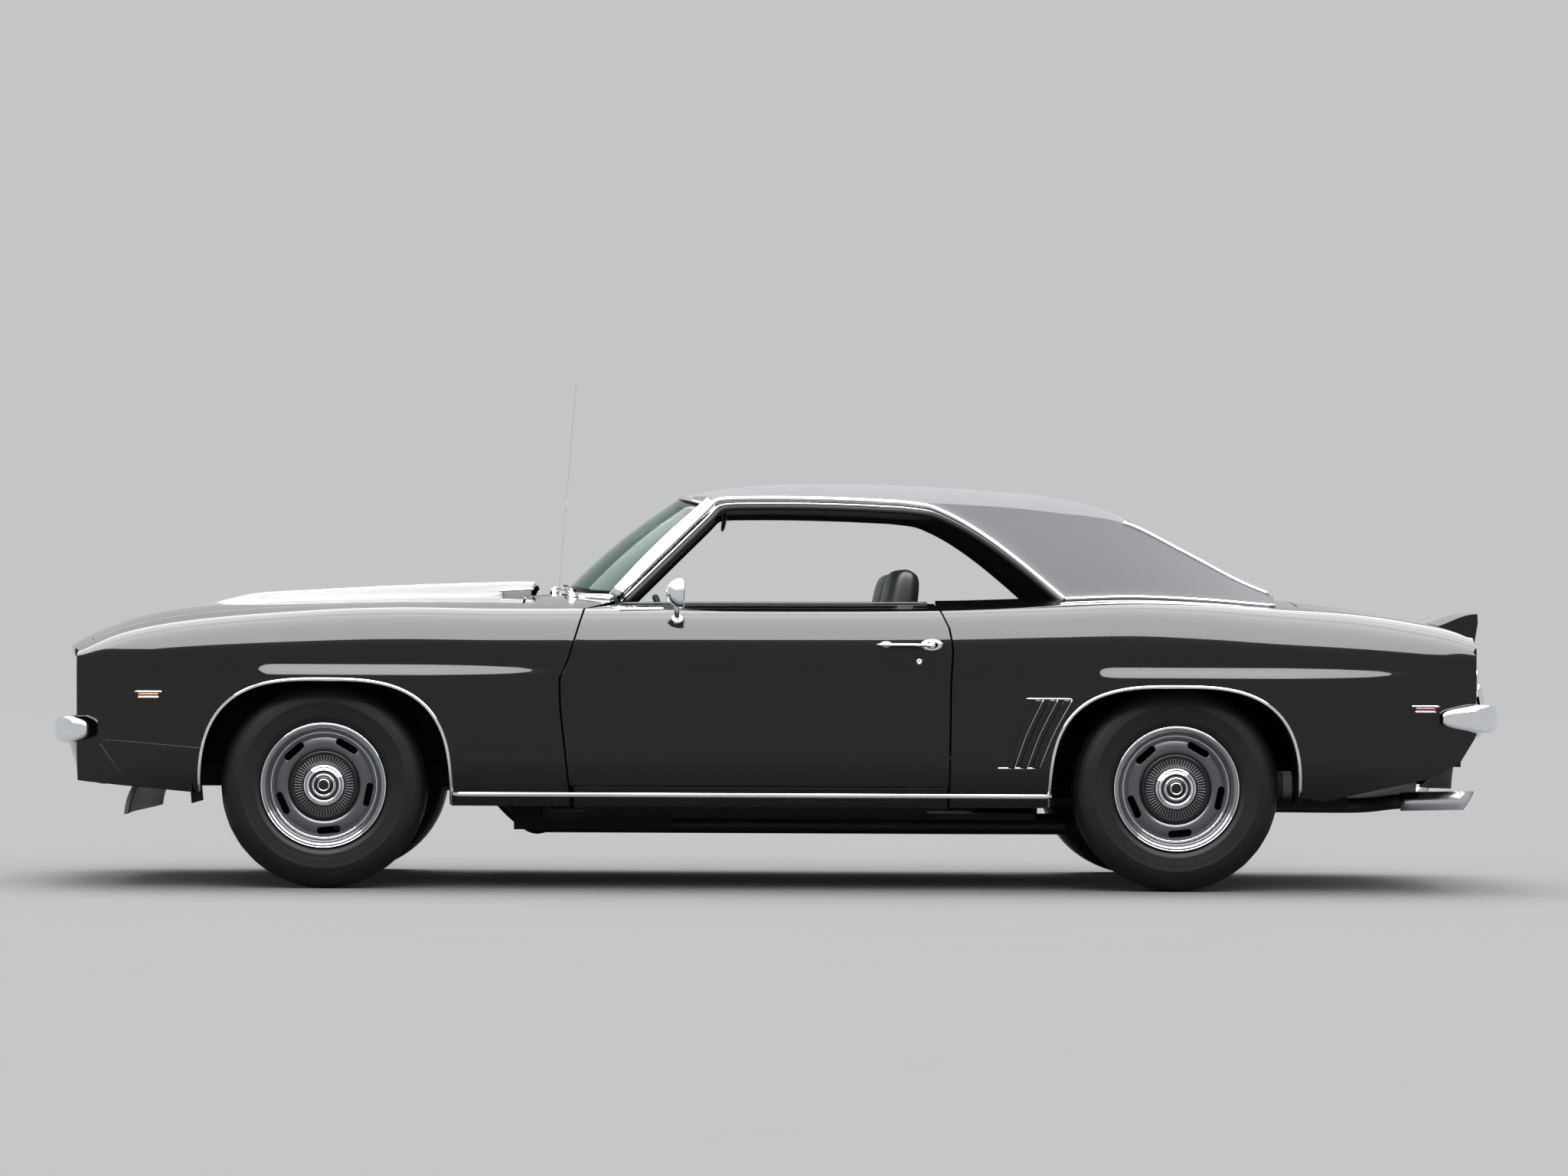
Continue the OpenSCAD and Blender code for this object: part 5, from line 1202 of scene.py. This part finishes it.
def build_cabin():
    up = (0, 0, 1)

    def one(side, sign):
        y = sign * SEAT_Y
        pad(f"seat_{side}_back", [((XF + 1752, y, 455), (-1, 0, 0.1)),
            ((XF + 1800, y, 620), (-1, 0, 0.15)), ((XF + 1848, y, 820), (-1, 0, 0.18)),
            ((XF + 1888, y, 1040), (-1, 0, 0.2))], 232, 112, 7, f"seat_{side}")
        pad(f"seat_{side}_cushion", [((XF + 1310, y, 372), up), ((XF + 1440, y, 388), up),
            ((XF + 1600, y, 378), up), ((XF + 1740, y, 366), up)], 236, 128, 7)
        make(f"seat_{side}_frame", *block((XF + 1530, y, 280), (440, 400, 68)), "trim", bevel=8)
    both(one)
    pad("rear_seat_cushion", [((XR - 640, 0, 466), up), ((XR - 500, 0, 472), up),
        ((XR - 330, 0, 452), up)], 556, 92, 15, "rear_seat")
    lean = (-1, 0, 0.2)
    pad("rear_seat_back", [((XR - 300, 0, 480), lean), ((XR - 262, 0, 640), lean),
        ((XR - 214, 0, 880), lean)], 556, 96, 15)
    # steering wheel
    body = "steering_wheel"
    place = (Matrix.Translation((XF + 1130, -SEAT_Y, 780))
        @ Matrix.Rotation(radians(90 - 22), 4, "Y"))
    ring = [(179 + 11 * cos(t), 11 * sin(t)) for t in linspace(0, 2 * pi, 15)]
    turned("steering_rim", ring, place, "trim", 96, body=body, replaces=body)
    turned("steering_hub", [(0.01, 12), (20, 11), (34, 6), (40, -4), (36, -20), (28, -34)], place,
        "trim", body=body)
    spoke, f = block((100, 0, -3), (146, 24, 4))
    turns = [Matrix.Rotation(radians(180 + 120 * k), 4, "Z") for k in range(3)]
    make("steering_spokes", *joined([(moved(spoke, place @ t), f) for t in turns]), "satin_chrome",
        body=body, bevel=1.5, flat=True)
    # hood over the instruments and two round dials
    g = grid(lambda s, v: (lerp(XF + 830, XF + 1008, s), 230 * v - SEAT_Y,
        BELT - 22 + 26 * (1 - v ** 4) * sin(pi * (0.2 + 0.7 * s))), 8, 31)
    skin("dash_hood", g, 12, "trim", toward=(XF + 900, -SEAT_Y, 800), bevel=2)
    for k, y in enumerate((-500, -300)):
        place = facing((XF + 1003, y, BELT - 88), (1, 0, -0.25))
        turned(f"dial_{k}_rim", [(54, 0), (56, 9), (60, 11), (63, 8), (64, 0)], place, "chrome")
        turned(f"dial_{k}_face", [(0.01, 3), (55, 3)], place, "grille", normals=False)
    turned("inside_mirror", [(0.01, 10), (60, 8), (104, 4), (108, 0), (104, -4), (60, -6),
        (0.01, -7)], facing((XF + 1290, 0, ROOF_TOP - 128), (1, 0, -0.15))
        @ Matrix.Diagonal((1, 0.3, 1, 1)), "trim")


def squared(t, power):
    """Cosine and sine of t, pulled out towards the corners of a square."""
    return [copysign(abs(q) ** power, q) for q in (cos(t), sin(t))]


def build_tail():
    box_x = XR + 170

    def one(side, sign):
        flip = [1, sign, 1]

        def pipe(part, points, r, last=None, **kw):
            tube(f"pipe_{side}_{part}", (curve_points(points, 6) * flip)[:last], r, 2, "pipe",
                **kw)
        pipe("middle", [(XF + 700, 250, 193), (XF + 900, 250, 193), (XR - 420, 250, 193),
            (XR - 240, 330, 200), (box_x + 4, 330, 240)], 28)
        pipe("tail", [(box_x + 146, 400, 270), (XR + 400, 400, 270), (XR + 640, 400, 270),
            (XR + 760, 480, 285), (XR + 880, 496, 288), (XR + 988, 500, 290)], 24, -5,
            replaces="exhaust")
        tip = array([(XR + 770, 482, 285.5), (XR + 800, 488, 286.5), (XR + 850, 494, 287.5),
            (XR + 900, 497, 288.5), (XR + 950, 499, 289.5), (XR + 990, 500, 290)])
        piece = tube(f"pipe_{side}_tip", tip * flip, 31, 2.5, "satin_chrome", n=40)
        # slanted end: the last ring is 80 vertices
        for q in piece.data.vertices[-80:]:
            q.co.x += (q.co.z - 0.290) * 0.6
        pipe("down", [(XF + 352, 240, 430), (XF + 400, 240, 430), (XF + 480, 242, 385),
            (XF + 560, 248, 270), (XF + 650, 250, 193), (XF + 700, 250, 193)], 27.5,
            replaces="downpipes")
        for k in range(3):
            y0 = 330 + k * 132
            g = grid(lambda s, v: (XR + 980.2
                + 9 * max(0, (1 - v ** 6) * (1 - (2 * s - 1) ** 6)) ** 0.6,
                sign * (y0 + 60 + 59 * v), lerp(633, 715, s)), 9, 13)
            inner = g.copy()
            inner[:, :, 0] = XR + 972.5
            shell(f"tail_lamp_{k}_{side}", g, inner, "red", replaces="tail_lamps")
            ring = []
            for t in linspace(0, 2 * pi, 41)[:-1]:
                c, s_ = squared(t, 0.35)
                ring.append((XR + 984, sign * (y0 + 60 + 62 * c), 674 + 44 * s_))
            sweep(f"tail_lamp_{k}_{side}_frame", ring, circle(3.5, 8), "chrome", closed=True)
        # upright guards on the rear bumper
        pts = [(XR + 1026 - 14 * max(0, i - 5) ** 1.3 / 4 + 14 * sin(pi * min(i, 5) / 5 * 0.6),
            sign * 420, z) for i, z in enumerate(linspace(500, 668, 9))]
        sweep(f"rear_guard_{side}", pts, half_round(46, 16, 6), "chrome", normals=(1, 0, 0))
    both(one)
    # tail panel down to z 488, then the valance that leans in near its corners
    rows = []
    for z in [*linspace(788, 506, 12), *linspace(488, 322, 10)]:
        half = max(DECK_HALF + 3, low_y(XR + 960, max(z, 470)) - 7)
        half = lerp(half, 600, smooth((500 - z) / 190))
        rows.append([(XR + 967.5 + 4 * (1 - v * v)
            - 0.6 * max(0, 500 - z) ** 1.06 * smooth((abs(v) - 0.4) / 0.5), v * half,
            z + 22 * abs(v) ** 3 * clamp01((500 - z) / 200)) for v in linspace(-1, 1, 81)])
    skin("tail_panel_skin", rows[:12], 3, ["paint", "under"], toward=(XR + 900, 0, 600),
        replaces="tail_panel", bevel=1)
    skin("tail_valance_skin", rows[11:], 3, "under", toward=(XR + 900, 0, 600), bevel=1)
    ring = [squared(2 * pi * k / 48, 0.6) for k in range(48)]
    ends = ((-452, 0.02), (-451, 0.9), (-444, 1), (444, 1), (451, 0.9), (452, 0.02))
    make("muffler_body", [(XR + 245 + 75 * c * k, y, 265 + 64 * s_ * k)
        for y, k in ends for c, s_ in ring], grid_quads(6, 48, close_m=True)
        + [tuple(range(48)), tuple(range(5 * 48, 6 * 48))], "pipe", bevel=1.5)


build_stage()
build_sides()
build_top()
build_roof()
build_glass()
build_wheels()
build_bumpers()
build_side_trim()
build_nose()
build_cowl()
build_wells()
build_cabin()
build_tail()

NODE_LOOKS = {"air_dam": "dam", "floor_pan": "under"}
slot_of = {s["node"]: s["material_slot"] for s in frame["record"]["subparts"]}
for node_name, o in frame["nodes"].items():
    look = NODE_LOOKS.get(node_name, SLOT_LOOKS[slot_of[node_name]].split()[0])
    for s in o.material_slots:
        s.material = M[look]
